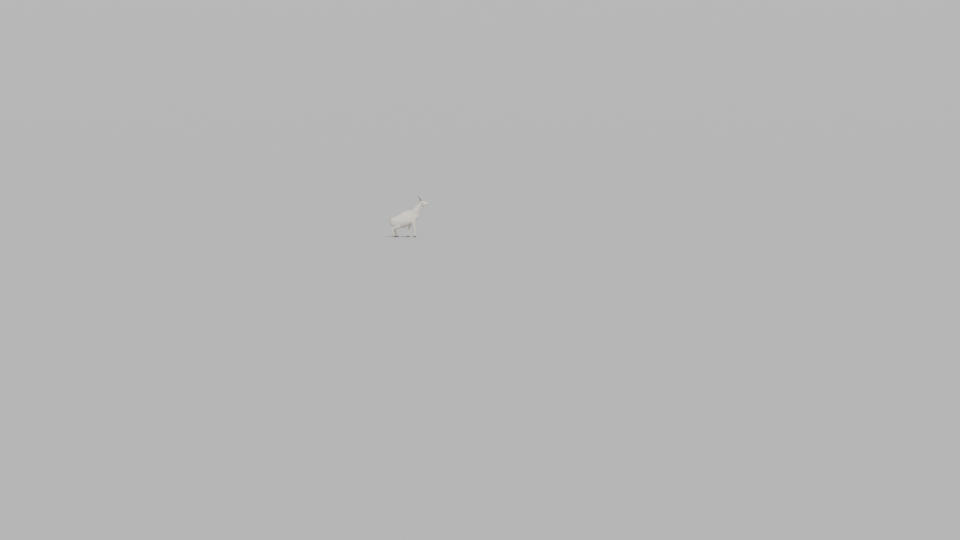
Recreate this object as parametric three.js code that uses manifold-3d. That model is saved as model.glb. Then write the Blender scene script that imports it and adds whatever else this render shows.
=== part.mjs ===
// A mountain goat at life size, standing with its hindquarters lowered. Millimetres, +Z up.
// The goat faces -Y, its left side is +X, and its hooves stand on Z = 0.
// Every form is given out to the tips of the short summer coat.

import * as THREE from 'three';
import { mergeVertices } from 'three/addons/utils/BufferGeometryUtils.js';
import Module from 'manifold-3d';

const wasm = await Module();
wasm.setup();

// Driving sizes

const GAP = 0.3; // clear space between neighbouring pieces
const LEFT = 1;
const RIGHT = -1;
const FLOOR = 0;

// The head's own axis starts at the back of the skull and runs level to the nose, then it is
// turned down by the pitch.
const HEAD = { forward: 150, up: 1165, pitch: THREE.MathUtils.degToRad(5) };
const EYE = { radius: 18, forward: 132, side: 50.5, up: 28 };
const HORN = {
  length: 235,
  baseRadius: 20,
  tipRadius: 4,
  forward: 74,
  side: 25,
  up: 50,
  leanAtBase: THREE.MathUtils.degToRad(22),
  leanAtTip: THREE.MathUtils.degToRad(58),
  splay: 0.13, // how far it spreads for each unit of its length
  sections: 8,
};
const EAR = {
  length: 130,
  halfWidth: 28,
  halfThickness: 10.5,
  forward: 42,
  side: 40,
  up: 30,
  back: 0.42, // these three give the way it points
  out: 0.76,
  rise: 0.5,
  hollowShare: 0.76, // the hollow's size as a share of the ear's
  hollowShift: 11, // and how far the hollow stands ahead of the ear's middle
  hollowFrom: 3, // the section where it begins
  sections: 7,
};

const CLAW_SPREAD = 17.5; // from the middle of a foot to the middle of each toe
const CORONET = { height: 40, slope: THREE.MathUtils.degToRad(14) };
const DEWCLAW = {
  wide: 9,
  deep: 10,
  tall: 16,
  spread: 15,
  behind: 25,
  height: 70,
  tilt: THREE.MathUtils.degToRad(-24),
};

const FORE_SIDE = 88; // from the middle line to each fore hoof
const HIND_SIDE = 96;
const HIND_HOOF = -656;
const HIND_PASTERN = -687; // where the hind leg's line is at its dewclaws
const STEP_TOP = 620; // above this height the step of a hind leg moves nothing
const STEP_RATE = 1.6; // how soon below it the whole step is reached

// Planes that part the body, each given by a point and the way it faces.
const NECK_CUT = { forward: 28, up: 872, facing: { forward: -0.53, up: -0.85 } };
const HEAD_CUT = { forward: 150, up: 1180, facing: { forward: -0.86, up: -0.5 } };
const FLANK_CUT = { forward: -424, up: 384, facing: { forward: 0.77, up: 0.64 } };
const HAUNCH_CUT = { forward: -600, up: 600, facing: { forward: 0, up: 1 } };
const HIND_CUT_SIDE = 36; // the inner thigh is cut this far from the middle line
const CHEST_SLOPE = THREE.MathUtils.degToRad(27);
const CHEST_LINE = [[0, 452], [-190, 362]]; // height just under the chest at two places forward
const FORELEG_CUT_SIDE = 98;
const CUT_BLOCK = { x: 600, y: 1400, z: 900 }; // larger than anything that a cut takes off
const HIND_CUT_BLOCK = { x: 400, y: 1400, z: 900 };
const FORELEG_CUT_BLOCK = { x: 180, y: 900, z: 640 };
const FOOT_BLOCK = { x: 120, y: 220, z: 130 };

// How finely each form is divided, and over what share of its length its ends are rounded.
const DETAIL = {
  trunk: { around: 19, rings: 11, roundStart: 0.07, roundEnd: 0.05 },
  neck: { around: 18, rings: 6 },
  shoulder: { around: 12, rings: 4, roundStart: 0.2, roundEnd: 0.2 },
  foreleg: { around: 12, rings: 12, roundStart: 0.1 },
  thigh: { around: 11, rings: 4, roundStart: 0.15, roundEnd: 0.15 },
  gaskin: { around: 11, rings: 3, roundStart: 0.12, roundEnd: 0.1 },
  hindCannon: { around: 11, rings: 8, roundStart: 0.08 },
  skull: { around: 17, rings: 10, roundStart: 0.06, roundEnd: 0.09 },
  jaw: { around: 13, rings: 5, roundStart: 0.12, roundEnd: 0.12 },
  brow: { around: 8, rings: 2, roundStart: 0.25, roundEnd: 0.25 },
  horn: { around: 10, rings: 6, roundEnd: 0.03 },
  ear: { around: 9, rings: 4, roundEnd: 0.06 },
  earHollow: { around: 9, rings: 4, roundStart: 0.2, roundEnd: 0.06 },
  beard: { around: 10, rings: 4, roundEnd: 0.12 },
  tail: { around: 10, rings: 3, roundStart: 0.1, roundEnd: 0.2 },
  claw: { around: 12, rings: 3 },
  eye: [9, 6],
  dewclaw: [8, 4],
};
const CAP_RINGS = 3; // rings on a rounded end
const CAP_LEAST = 0.12; // share of full size at its tip

const MERGE = 1e-3; // vertices this near are one
const WORLD_SIDE = new THREE.Vector3(1, 0, 0);
const WORLD_UP = new THREE.Vector3(0, 0, 1);

const COAT_FINISH = { color: 0xece6d8, roughness: 0.9, metalness: 0 };
const HORN_FINISH = { color: 0x1b1917, roughness: 0.42, metalness: 0 };
const HOOF_FINISH = { color: 0x242220, roughness: 0.55, metalness: 0 };
const EYE_FINISH = { color: 0x15100c, roughness: 0.08, metalness: 0 };

// Sections along each form. forward, up and side place a section's middle, and wide is its half
// width. over and under are its reach square to the form's line: over is towards the back of the
// trunk, the nape, the crown or the front of a leg, and under is the other way. A pear below 0
// narrows the over side, and square above 2 flattens the sides.

const TRUNK = [
  { forward: -832, up: 492, wide: 96, over: 112, under: 74 },
  { forward: -790, up: 490, wide: 126, over: 158, under: 96, pear: -0.04 },
  { forward: -716, up: 484, wide: 149, over: 186, under: 128, pear: -0.08 },
  { forward: -600, up: 494, wide: 165, over: 206, under: 182, pear: -0.12 },
  { forward: -465, up: 538, wide: 177, over: 228, under: 258, pear: -0.16 },
  { forward: -325, up: 602, wide: 172, over: 244, under: 272, pear: -0.28 },
  { forward: -188, up: 664, wide: 154, over: 254, under: 256, pear: -0.44 },
  { forward: -62, up: 712, wide: 136, over: 212, under: 240, pear: -0.36 },
  { forward: 60, up: 738, wide: 118, over: 118, under: 166, pear: -0.1 },
  { forward: 146, up: 752, wide: 66, over: 56, under: 74 },
];

const NECK = [
  { forward: -150, up: 640, wide: 122, over: 160, under: 196 },
  { forward: -46, up: 776, wide: 124, over: 143, under: 188 },
  { forward: 50, up: 902, wide: 100, over: 109, under: 141 },
  { forward: 122, up: 1012, wide: 77, over: 93, under: 108 },
  { forward: 162, up: 1096, wide: 69, over: 89, under: 92 },
  { forward: 194, up: 1160, wide: 60, over: 82, under: 74 },
];

const SHOULDER = [
  { forward: -196, up: 796, side: 42, wide: 52, over: 112, under: 108 },
  { forward: -104, up: 726, side: 62, wide: 70, over: 146, under: 142 },
  { forward: -8, up: 642, side: 76, wide: 67, over: 126, under: 130 },
  { forward: 52, up: 584, side: 80, wide: 54, over: 86, under: 92 },
];

const FORELEG = [
  { up: 640, side: 68, wide: 50, over: 76, under: 88 },
  { up: 560, side: 86, wide: 55, over: 78, under: 88 },
  { up: 480, side: 94, wide: 47, over: 63, under: 68 },
  { up: 400, side: 91, wide: 40, over: 49, under: 50 },
  { up: 310, side: 89, wide: 34, over: 37, under: 38 },
  { up: 246, side: 88, wide: 37, over: 40, under: 35 },
  { up: 192, side: 88, wide: 28, over: 29, under: 30 },
  { up: 132, side: 88, wide: 27, over: 27, under: 31 },
  { up: 92, side: 88, wide: 34, over: 33, under: 38 },
  { up: 58, side: 88, wide: 34, over: 31, under: 38 },
  { up: 14, side: 88, wide: 37, over: 26, under: 39 },
];

const THIGH = [
  { forward: -706, up: 610, side: 56, wide: 60, over: 92, under: 84 },
  { forward: -672, up: 544, side: 80, wide: 74, over: 140, under: 152 },
  { forward: -608, up: 464, side: 96, wide: 75, over: 146, under: 172 },
  { forward: -536, up: 396, side: 104, wide: 64, over: 116, under: 132 },
  { forward: -474, up: 350, side: 106, wide: 49, over: 68, under: 70 },
];

const GASKIN = [
  { forward: -484, up: 396, side: 108, wide: 54, over: 80, under: 78 },
  { forward: -552, up: 358, side: 108, wide: 54, over: 86, under: 96 },
  { forward: -630, up: 320, side: 106, wide: 45, over: 66, under: 82 },
  { forward: -702, up: 292, side: 103, wide: 34, over: 46, under: 56 },
  { forward: -752, up: 272, side: 100, wide: 28, over: 33, under: 38 },
];

const HIND_CANNON = [
  { forward: -776, up: 328, side: 101, wide: 20, over: 28, under: 22 },
  { forward: -762, up: 282, side: 100, wide: 32, over: 42, under: 34 },
  { forward: -742, up: 228, side: 99, wide: 29, over: 31, under: 33 },
  { forward: -722, up: 168, side: 97, wide: 27, over: 28, under: 30 },
  { forward: -706, up: 120, side: 96, wide: 30, over: 30, under: 34 },
  { forward: -696, up: 92, side: 96, wide: 34, over: 33, under: 38 },
  { forward: -676, up: 54, side: 96, wide: 34, over: 31, under: 38 },
  { forward: -660, up: 14, side: 96, wide: 37, over: 27, under: 39 },
];

const SKULL = [
  { forward: -10, up: 6, wide: 54, over: 56, under: 52 },
  { forward: 40, up: 8, wide: 62, over: 64, under: 66 },
  { forward: 92, up: 8, wide: 66, over: 72, under: 72 },
  { forward: 136, up: 4, wide: 62, over: 69, under: 66 },
  { forward: 180, up: -2, wide: 52, over: 61, under: 55 },
  { forward: 226, up: -6, wide: 44, over: 53, under: 48, square: 2.3 },
  { forward: 270, up: -9, wide: 41, over: 49, under: 46, square: 2.5 },
  { forward: 308, up: -12, wide: 41, over: 46, under: 43, square: 2.6 },
  { forward: 340, up: -17, wide: 37, over: 39, under: 34, square: 2.5 },
];

const JAW = [
  { forward: 36, up: -30, wide: 50, over: 50, under: 52 },
  { forward: 84, up: -48, wide: 57, over: 56, under: 62 },
  { forward: 138, up: -54, wide: 51, over: 52, under: 50 },
  { forward: 190, up: -52, wide: 41, over: 42, under: 38 },
  { forward: 244, up: -52, wide: 34, over: 32, under: 29 },
  { forward: 290, up: -54, wide: 31, over: 26, under: 25 },
  { forward: 324, up: -56, wide: 26, over: 20, under: 19 },
];

const BROW = [
  { forward: 92, up: 46, side: 38, wide: 16, over: 13, under: 20 },
  { forward: 124, up: 38, side: 46, wide: 19, over: 17, under: 26 },
  { forward: 158, up: 24, side: 41, wide: 15, over: 13, under: 20 },
];

const BEARD = [
  { forward: 228, up: -60, wide: 25, over: 52, under: 60 },
  { forward: 218, up: -96, wide: 22, over: 43, under: 50 },
  { forward: 204, up: -134, wide: 15, over: 27, under: 33 },
  { forward: 190, up: -168, wide: 7, over: 9, under: 11 },
];

const TAIL = [
  { forward: -786, up: 622, wide: 26, over: 22, under: 24 },
  { forward: -812, up: 602, wide: 30, over: 20, under: 24 },
  { forward: -832, up: 556, wide: 30, over: 18, under: 22 },
  { forward: -838, up: 510, wide: 20, over: 13, under: 15 },
];

// A toe from its top down to the flat sole; over is its front.
const CLAW = [
  { forward: 0, up: 62, wide: 14.6, over: 10, under: 38, square: 2.3 },
  { forward: 0, up: 36, wide: 16, over: 28, under: 36, square: 2.3 },
  { forward: 0, up: 12, wide: 16.7, over: 42, under: 33, square: 2.1 },
  { forward: 0, up: FLOOR, wide: 16.6, over: 47, under: 31, square: 2.1 },
];

// Where the feet stand: a foreleg's joints from the shoulder down as [height, forward], and how
// far forward each hind leg steps.

const FORE_STANCES = [
  {
    name: 'right', hand: RIGHT, hoof: 14,
    joints: [[640, 18], [480, -26], [242, 6], [92, 0], [14, 14]],
  },
  {
    name: 'left', hand: LEFT, hoof: -220,
    joints: [[640, -40], [480, -132], [242, -204], [92, -236], [14, -220]],
  },
];

const HIND_STANCES = [
  { name: 'right', hand: RIGHT, step: 0 },
  { name: 'left', hand: LEFT, step: 70 },
];

/** The point at a place given as the goat's own forward, sideways and upward distances. */
function place(forward, side, up) {
  return new THREE.Vector3(side, -forward, up);
}

/** The value at x of the straight stretches through [x, value] pairs, whose x falls. */
function alongPairs(pairs, x) {
  for (let i = 1; i < pairs.length; i += 1) {
    const [x0, value0] = pairs[i - 1];
    const [x1, value1] = pairs[i];
    if (x >= x1 || i === pairs.length - 1) {
      return THREE.MathUtils.lerp(value0, value1, (x0 - x) / (x0 - x1));
    }
  }
  return pairs[0][1];
}

/** Rings on a rounded end: how far each is from the end, and its share of full size. */
function capPlan(length) {
  const plan = [];
  for (let i = 0; i < CAP_RINGS && length > 0; i += 1) {
    const turn = (i / CAP_RINGS) * (Math.PI / 2);
    plan.push({ t: length * (1 - Math.cos(turn)), size: Math.max(Math.sin(turn), CAP_LEAST) });
  }
  return plan;
}

/** Where rings stand along a form, from 0 to 1, and their share of full size. */
function ringPlan(rings, roundStart, roundEnd) {
  const plan = capPlan(roundStart);
  for (let i = 0; i <= rings; i += 1) {
    plan.push({ t: THREE.MathUtils.lerp(roundStart, 1 - roundEnd, i / rings), size: 1 });
  }
  const end = capPlan(roundEnd).reverse();
  return plan.concat(end.map(({ t, size }) => ({ t: 1 - t, size })));
}

/** The first section's place, moved away from the second by a distance. */
function movedOut(first, second, distance) {
  const from = new THREE.Vector3(first.forward, first.side ?? 0, first.up);
  const to = new THREE.Vector3(second.forward, second.side ?? 0, second.up);
  const moved = from.clone().addScaledVector(from.clone().sub(to).normalize(), distance);
  return { forward: moved.x, side: moved.y, up: moved.z };
}

/** The same form larger all round by grow, for the seat that a piece stands in. */
function grown(stations, grow) {
  const larger = stations.map((station) => ({
    ...station,
    wide: station.wide + grow,
    over: station.over + grow,
    under: station.under + grow,
  }));
  if (grow > 0) {
    const last = larger.length - 1;
    Object.assign(larger[0], movedOut(stations[0], stations[1], grow));
    Object.assign(larger[last], movedOut(stations[last], stations[last - 1], grow));
  }
  return larger;
}

/**
 * A closed form swept through sections. Its shape starts as a plain closed cylinder, whose rings
 * are laid on the sections.
 */
function sweep(stations, detail, hand = LEFT, across = WORLD_SIDE) {
  const { around, rings, roundStart = 0, roundEnd = 0 } = detail;
  const plan = ringPlan(rings, roundStart, roundEnd);
  const middles = stations.map((s) => place(s.forward, (s.side ?? 0) * hand, s.up));
  const reaches = stations.map((s) => new THREE.Vector3(s.wide, s.over, s.under));
  const shapes = stations.map((s) => new THREE.Vector3(s.pear ?? 0, s.square ?? 2, 0));
  const middleLine = new THREE.CatmullRomCurve3(middles);
  const reachLine = new THREE.CatmullRomCurve3(reaches);
  const shapeLine = new THREE.CatmullRomCurve3(shapes);

  const frames = plan.map(({ t, size }) => {
    const tangent = middleLine.getTangent(t);
    const sideways = across.clone().addScaledVector(tangent, -across.dot(tangent)).normalize();
    const over = new THREE.Vector3().crossVectors(tangent, sideways);
    return {
      middle: middleLine.getPoint(t),
      sideways,
      over,
      reach: reachLine.getPoint(t).multiplyScalar(size),
      shape: shapeLine.getPoint(t),
    };
  });

  const geometry = new THREE.CylinderGeometry(1, 1, 1, around, frames.length - 1);
  const position = geometry.attributes.position;
  for (let i = 0; i < position.count; i += 1) {
    const row = Math.round((0.5 - position.getY(i)) * (frames.length - 1));
    const { middle, sideways, over, reach, shape } = frames[row];
    const cos = position.getX(i);
    const sin = position.getZ(i);
    const power = 2 / shape.y;
    const wide = Math.sign(cos) * Math.abs(cos) ** power * reach.x * (1 + shape.x * sin);
    const tall = Math.sign(sin) * Math.abs(sin) ** power * (sin > 0 ? reach.y : reach.z);
    const point = middle.clone().addScaledVector(sideways, wide).addScaledVector(over, tall);
    position.setXYZ(i, point.x, point.y, point.z);
  }
  return geometry;
}

/** The solid that a closed geometry bounds. */
function solidOf(geometry) {
  geometry.deleteAttribute('normal');
  geometry.deleteAttribute('uv');
  const welded = mergeVertices(geometry, MERGE);
  return new wasm.Manifold(new wasm.Mesh({
    numProp: 3,
    vertProperties: new Float32Array(welded.attributes.position.array),
    triVerts: new Uint32Array(welded.index.array),
  }));
}

/** The solid of a swept form. */
function form(stations, detail, hand) {
  return solidOf(sweep(stations, detail, hand));
}

/** A swept form that is given in the head's own frame. */
function headForm(stations, detail, hand, across) {
  return solidOf(sweep(stations, detail, hand, across).applyMatrix4(HEAD_PLACE));
}

/** All the given solids as one. */
function joined(solids) {
  return solids.reduce((whole, solid) => whole.add(solid));
}

/** A block that fills the space behind a plane: the plane passes through point, facing normal. */
function blockBehind(point, normal, size, grow = 0) {
  const block = new THREE.BoxGeometry(size.x + 2 * grow, size.y, size.z);
  block.translate(0, 0, grow - size.z / 2);
  const turn = new THREE.Quaternion().setFromUnitVectors(WORLD_UP, normal.clone().normalize());
  block.applyQuaternion(turn);
  block.translate(point.x, point.y, point.z);
  return solidOf(block);
}

/** Parts a solid with a thin cut round a cutter, made by a function of how much it grows. */
function parted(solid, cutter) {
  return { piece: solid.intersect(cutter(0)), rest: solid.subtract(cutter(GAP)) };
}

/** A named mesh of a solid. */
function meshOf(name, solid, finish) {
  const { vertProperties, triVerts, numProp } = solid.getMesh();
  const positions = new Float32Array((vertProperties.length / numProp) * 3);
  for (let i = 0; i < positions.length / 3; i += 1) {
    positions.set(vertProperties.subarray(i * numProp, i * numProp + 3), i * 3);
  }
  const geometry = new THREE.BufferGeometry();
  geometry.setAttribute('position', new THREE.BufferAttribute(positions, 3));
  geometry.setIndex(new THREE.BufferAttribute(new Uint32Array(triVerts), 1));
  geometry.computeVertexNormals();
  const mesh = new THREE.Mesh(geometry, new THREE.MeshStandardMaterial(finish));
  mesh.name = name;
  return mesh;
}

const HEAD_PLACE = new THREE.Matrix4()
  .makeRotationX(HEAD.pitch)
  .setPosition(place(HEAD.forward, 0, HEAD.up));

// The body's forms

function forelegForm({ hand, joints }) {
  const stations = FORELEG.map((s) => ({ ...s, forward: alongPairs(joints, s.up) }));
  return form(stations, DETAIL.foreleg, hand);
}

/** Moves a hind leg's sections forward, more towards the hoof. */
function stepped(stations, step) {
  return stations.map((s) => {
    const share = THREE.MathUtils.clamp((STEP_RATE * (STEP_TOP - s.up)) / STEP_TOP, 0, 1);
    return { ...s, forward: s.forward + step * share };
  });
}

function hindlegForm({ hand, step }) {
  return joined([
    form(stepped(THIGH, step), DETAIL.thigh, hand),
    form(stepped(GASKIN, step), DETAIL.gaskin, hand),
    form(stepped(HIND_CANNON, step), DETAIL.hindCannon, hand),
  ]);
}

function headSolid() {
  return joined([
    headForm(SKULL, DETAIL.skull),
    headForm(JAW, DETAIL.jaw),
    headForm(BROW, DETAIL.brow, LEFT),
    headForm(BROW, DETAIL.brow, RIGHT),
  ]);
}

// What grows from the body

/** A horn's sections: a gentle arc that leans further back towards its pointed tip. */
function hornStations() {
  const stations = [];
  const length = HORN.length / HORN.sections;
  let { forward, side, up } = HORN;
  for (let i = 0; i <= HORN.sections; i += 1) {
    const t = i / HORN.sections;
    const radius = THREE.MathUtils.lerp(HORN.baseRadius, HORN.tipRadius, t ** 0.85);
    const deep = radius * 1.08;
    stations.push({ forward, side, up, wide: radius * 0.9, over: deep, under: deep });
    const lean = THREE.MathUtils.lerp(HORN.leanAtBase, HORN.leanAtTip, t);
    forward -= Math.sin(lean) * length;
    up += Math.cos(lean) * length;
    side += HORN.splay * length;
  }
  return stations;
}

function hornSolid(hand, grow = 0) {
  return headForm(grown(hornStations(), grow), DETAIL.horn, hand);
}

/** An ear's sections, from inside the head out to its pointed tip. */
function earStations(share, shift) {
  const reach = new THREE.Vector3(EAR.back, EAR.out, EAR.rise).setLength(EAR.length);
  const stations = [];
  for (let i = 0; i <= EAR.sections; i += 1) {
    const t = i / EAR.sections;
    const fullness = Math.sin(Math.PI * THREE.MathUtils.lerp(0.2, 0.96, t)) ** 0.75 * share;
    stations.push({
      forward: EAR.forward - reach.x * t + shift,
      side: EAR.side + reach.y * t,
      up: EAR.up + reach.z * t + shift * 0.3,
      wide: EAR.halfWidth * fullness,
      over: EAR.halfThickness * fullness,
      under: EAR.halfThickness * fullness,
    });
  }
  return stations;
}

/** An ear, hollow in front, or with grow the plain seat that it stands in. */
function earSolid(hand, grow = 0) {
  const blade = headForm(grown(earStations(1, 0), grow), DETAIL.ear, hand, WORLD_UP);
  if (grow > 0) {
    return blade;
  }
  const hollow = earStations(EAR.hollowShare, EAR.hollowShift).slice(EAR.hollowFrom);
  return blade.subtract(headForm(hollow, DETAIL.earHollow, hand, WORLD_UP));
}

function eyeSolid(hand, grow = 0) {
  const ball = new THREE.SphereGeometry(EYE.radius + grow, ...DETAIL.eye);
  const middle = place(EYE.forward, EYE.side * hand, EYE.up);
  ball.translate(middle.x, middle.y, middle.z);
  return solidOf(ball.applyMatrix4(HEAD_PLACE));
}

function beardSolid(grow = 0) {
  return headForm(grown(BEARD, grow), DETAIL.beard);
}

function tailSolid(grow = 0) {
  return form(grown(TAIL, grow), DETAIL.tail);
}

// Feet

/** The space under a foot's coronet, the sloping line where hoof meets hair. */
function underCoronet(forward, side, grow = 0) {
  const facing = place(-Math.sin(CORONET.slope), 0, Math.cos(CORONET.slope));
  return blockBehind(place(forward, side, CORONET.height), facing, FOOT_BLOCK, grow);
}

function clawSolid(forward, footSide, outward) {
  const stations = CLAW.map((s) => ({ ...s, forward: s.forward + forward }));
  const side = footSide + outward * CLAW_SPREAD;
  const claw = sweep(stations, DETAIL.claw).translate(side, 0, 0);
  return solidOf(claw).intersect(underCoronet(forward, footSide));
}

function dewclawSolid(pastern, footSide, outward, grow = 0) {
  const ball = new THREE.SphereGeometry(1, ...DETAIL.dewclaw);
  ball.scale(DEWCLAW.wide + grow, DEWCLAW.deep + grow, DEWCLAW.tall + grow);
  ball.rotateX(DEWCLAW.tilt);
  const side = footSide + outward * DEWCLAW.spread;
  const middle = place(pastern - DEWCLAW.behind, side, DEWCLAW.height);
  return solidOf(ball.translate(middle.x, middle.y, middle.z));
}

/** A foot's hooves and dewclaws, and the leg cut to make room for them. */
function shod(leg, legName, hand, hoof, pastern, spread) {
  const footSide = hand * spread;
  const pieces = [];
  let cut = leg.subtract(underCoronet(hoof, footSide, GAP));
  for (const [toe, outward] of [['inner', -hand], ['outer', hand]]) {
    const claw = clawSolid(hoof, footSide, outward);
    const dewclaw = dewclawSolid(pastern, footSide, outward);
    pieces.push([`hoof_${legName}_${toe}`, claw, HOOF_FINISH]);
    pieces.push([`dewclaw_${legName}_${toe}`, dewclaw, HOOF_FINISH]);
    cut = cut.subtract(dewclawSolid(pastern, footSide, outward, GAP));
  }
  return { leg: cut, pieces };
}

// The cuts that part the body

/** The space behind a cut's plane. */
function behindCut({ forward, up, facing }, side, size, grow) {
  return blockBehind(place(forward, side, up), place(facing.forward, 0, facing.up), size, grow);
}

/** Below a foreleg's cut, which follows the chest's underside. */
function forelegCutter(hand, forward) {
  const up = alongPairs(CHEST_LINE, forward);
  const facing = { forward: -Math.sin(CHEST_SLOPE), up: Math.cos(CHEST_SLOPE) };
  const cut = { forward, up, facing };
  return (grow) => behindCut(cut, hand * FORELEG_CUT_SIDE, FORELEG_CUT_BLOCK, grow);
}

/** Outside a hind leg's cuts: the fold of the flank, and the line of the haunch. */
function hindlegCutter(hand, step) {
  const side = hand * (HIND_CUT_SIDE + HIND_CUT_BLOCK.x / 2);
  const flankCut = { ...FLANK_CUT, forward: FLANK_CUT.forward + step / 2 };
  return (grow) => {
    const flank = behindCut(flankCut, side, HIND_CUT_BLOCK, grow);
    return flank.intersect(behindCut(HAUNCH_CUT, side, HIND_CUT_BLOCK, grow));
  };
}

/** Ahead of the cut at the base of the neck. */
function neckCutter(grow) {
  return behindCut(NECK_CUT, 0, CUT_BLOCK, grow);
}

/** Ahead of the cut behind the poll and jaw. */
function headCutter(grow) {
  return behindCut(HEAD_CUT, 0, CUT_BLOCK, grow);
}

// The whole goat

const body = joined([
  form(TRUNK, DETAIL.trunk),
  form(NECK, DETAIL.neck),
  headSolid(),
  form(SHOULDER, DETAIL.shoulder, LEFT),
  form(SHOULDER, DETAIL.shoulder, RIGHT),
  ...FORE_STANCES.map(forelegForm),
  ...HIND_STANCES.map(hindlegForm),
]);

const pieces = [];
let trunk = body;

for (const { name, hand, hoof, joints } of FORE_STANCES) {
  const pastern = alongPairs(joints, DEWCLAW.height);
  const cut = parted(trunk, forelegCutter(hand, alongPairs(joints, 420)));
  const foot = shod(cut.piece, `fore_${name}`, hand, hoof, pastern, FORE_SIDE);
  trunk = cut.rest;
  pieces.push([`foreleg_${name}`, foot.leg, COAT_FINISH], ...foot.pieces);
}

for (const { name, hand, step } of HIND_STANCES) {
  const pastern = HIND_PASTERN + step;
  const cut = parted(trunk, hindlegCutter(hand, step));
  const foot = shod(cut.piece, `hind_${name}`, hand, HIND_HOOF + step, pastern, HIND_SIDE);
  trunk = cut.rest;
  pieces.push([`hindleg_${name}`, foot.leg, COAT_FINISH], ...foot.pieces);
}

const neckCut = parted(trunk, neckCutter);
const headCut = parted(neckCut.piece, headCutter);
let head = headCut.piece.subtract(beardSolid(GAP));

for (const [name, hand] of [['left', LEFT], ['right', RIGHT]]) {
  const growing = [
    [`ear_${name}`, earSolid, COAT_FINISH],
    [`horn_${name}`, hornSolid, HORN_FINISH],
    [`eye_${name}`, eyeSolid, EYE_FINISH],
  ];
  for (const [pieceName, solid, finish] of growing) {
    head = head.subtract(solid(hand, GAP));
    pieces.push([pieceName, solid(hand), finish]);
  }
}

pieces.push(
  ['head', head, COAT_FINISH],
  ['beard', beardSolid(), COAT_FINISH],
  ['neck', headCut.rest, COAT_FINISH],
  ['trunk', neckCut.rest.subtract(tailSolid(GAP)), COAT_FINISH],
  ['tail', tailSolid(), COAT_FINISH],
);

const goat = new THREE.Group();
goat.name = 'mountain_goat';
for (const [name, solid, finish] of pieces) {
  goat.add(meshOf(name, solid, finish));
}

// The origin is on the floor, under the middle of the whole goat.
const middle = new THREE.Box3().setFromObject(goat).getCenter(new THREE.Vector3());
goat.position.set(-middle.x, -middle.y, 0);

export default goat;
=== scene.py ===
"""A mountain goat in its short white summer coat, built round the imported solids."""

import logging
import math
from collections.abc import Iterator
from contextlib import contextmanager
from dataclasses import dataclass
from enum import Enum

import bmesh
import bpy
import numpy as np
from mathutils import Matrix, Vector

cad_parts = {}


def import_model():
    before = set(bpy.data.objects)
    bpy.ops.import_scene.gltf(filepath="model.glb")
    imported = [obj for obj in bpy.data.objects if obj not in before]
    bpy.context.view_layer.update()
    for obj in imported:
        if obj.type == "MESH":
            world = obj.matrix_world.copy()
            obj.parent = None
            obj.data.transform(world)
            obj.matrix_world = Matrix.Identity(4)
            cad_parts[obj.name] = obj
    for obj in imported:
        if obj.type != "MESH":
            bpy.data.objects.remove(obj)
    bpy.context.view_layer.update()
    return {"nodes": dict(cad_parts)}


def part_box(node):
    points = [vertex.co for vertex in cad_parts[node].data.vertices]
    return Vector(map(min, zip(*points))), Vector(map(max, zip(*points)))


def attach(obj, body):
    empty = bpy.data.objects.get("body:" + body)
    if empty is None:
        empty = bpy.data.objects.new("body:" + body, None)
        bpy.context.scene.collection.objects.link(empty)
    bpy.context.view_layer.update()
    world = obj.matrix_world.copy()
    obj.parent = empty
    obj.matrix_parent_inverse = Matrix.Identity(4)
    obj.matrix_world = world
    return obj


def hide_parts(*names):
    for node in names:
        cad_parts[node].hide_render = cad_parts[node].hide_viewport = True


Array = np.ndarray
Piece = bpy.types.Object
Point = tuple[float, float, float]
Line = tuple[Point, ...]
Span = tuple[float, float]
Colour = tuple[float, float, float, float]

LOG = logging.getLogger("goat")
SEED = 2135
ROOT = "root"
MM = 0.001
LEFT, RIGHT = 1, -1
BAKE_MAP = "OFBake"
BAKE_PATCH = 0.003  # how large each tuft's patch is on the map
IRIS_MAP = "iris"
BARE_OR_SHADED = "bare"  # attribute: dark hairless skin, and painted shade in the ears' hollows, 0 to 1
ALONG = "along"  # attribute: from a tuft's root, 0, to its tip, 1
TINT = "tint"  # attribute: a shade of its own for each tuft, with painted shade towards its lock's sides and painted light near its middle
TILT, ROUND = 0.45, 0.5  # how far a tuft's shading leans with it, and turns across it

# The goat's forward distances count from a line this far ahead of the frame's origin.
FORWARD_ZERO = 182.792
HEAD_FORWARD, HEAD_UP = 150.0, 1165.0
HEAD_PITCH = math.radians(5)
CORONET_UP = 36.0
STEP_LEFT = 70.0  # how far the left hind foot stands ahead of the right one
STEP_TOP, STEP_RATE = 620.0, 1.6


def place(forward: float, side: float, up: float) -> Array:
    """The frame's place for forward, sideways and upward millimetres."""
    return np.array((side, -forward - FORWARD_ZERO, up)) * MM


def head_place(forward: float, side: float, up: float) -> Array:
    """The frame's place for millimetres along, across and above the head's own line."""
    c, s = math.cos(HEAD_PITCH), math.sin(HEAD_PITCH)
    return place(HEAD_FORWARD + forward * c + up * s, side, HEAD_UP - forward * s + up * c)


def head_direction(forward: float, side: float, up: float) -> Array:
    """A unit direction given along, across and above the head's own line."""
    way = head_place(forward, side, up) - head_place(0, 0, 0)
    return way / np.linalg.norm(way)


def to_head(points: Array) -> Array:
    """Measures points from the head's own line.

    Args:
        points: places in the frame, in metres.

    Returns:
        Millimetres along, across and above the line.
    """
    c, s = math.cos(HEAD_PITCH), math.sin(HEAD_PITCH)
    back = points[:, 1] / MM + FORWARD_ZERO + HEAD_FORWARD
    high = points[:, 2] / MM - HEAD_UP
    return np.stack((-(back * c + high * s), points[:, 0] / MM, high * c - back * s), axis=1)


def unit(vectors: Array) -> Array:
    """The vectors at length one."""
    return vectors / np.maximum(np.linalg.norm(vectors, axis=-1, keepdims=True), 1e-9)


def smooth(low: float | Array, high: float | Array, values: Array) -> Array:
    """A smooth rise from 0 at low to 1 at high."""
    t = np.clip((values - low) / (high - low), 0, 1)
    return t * t * (3 - 2 * t)


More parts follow.
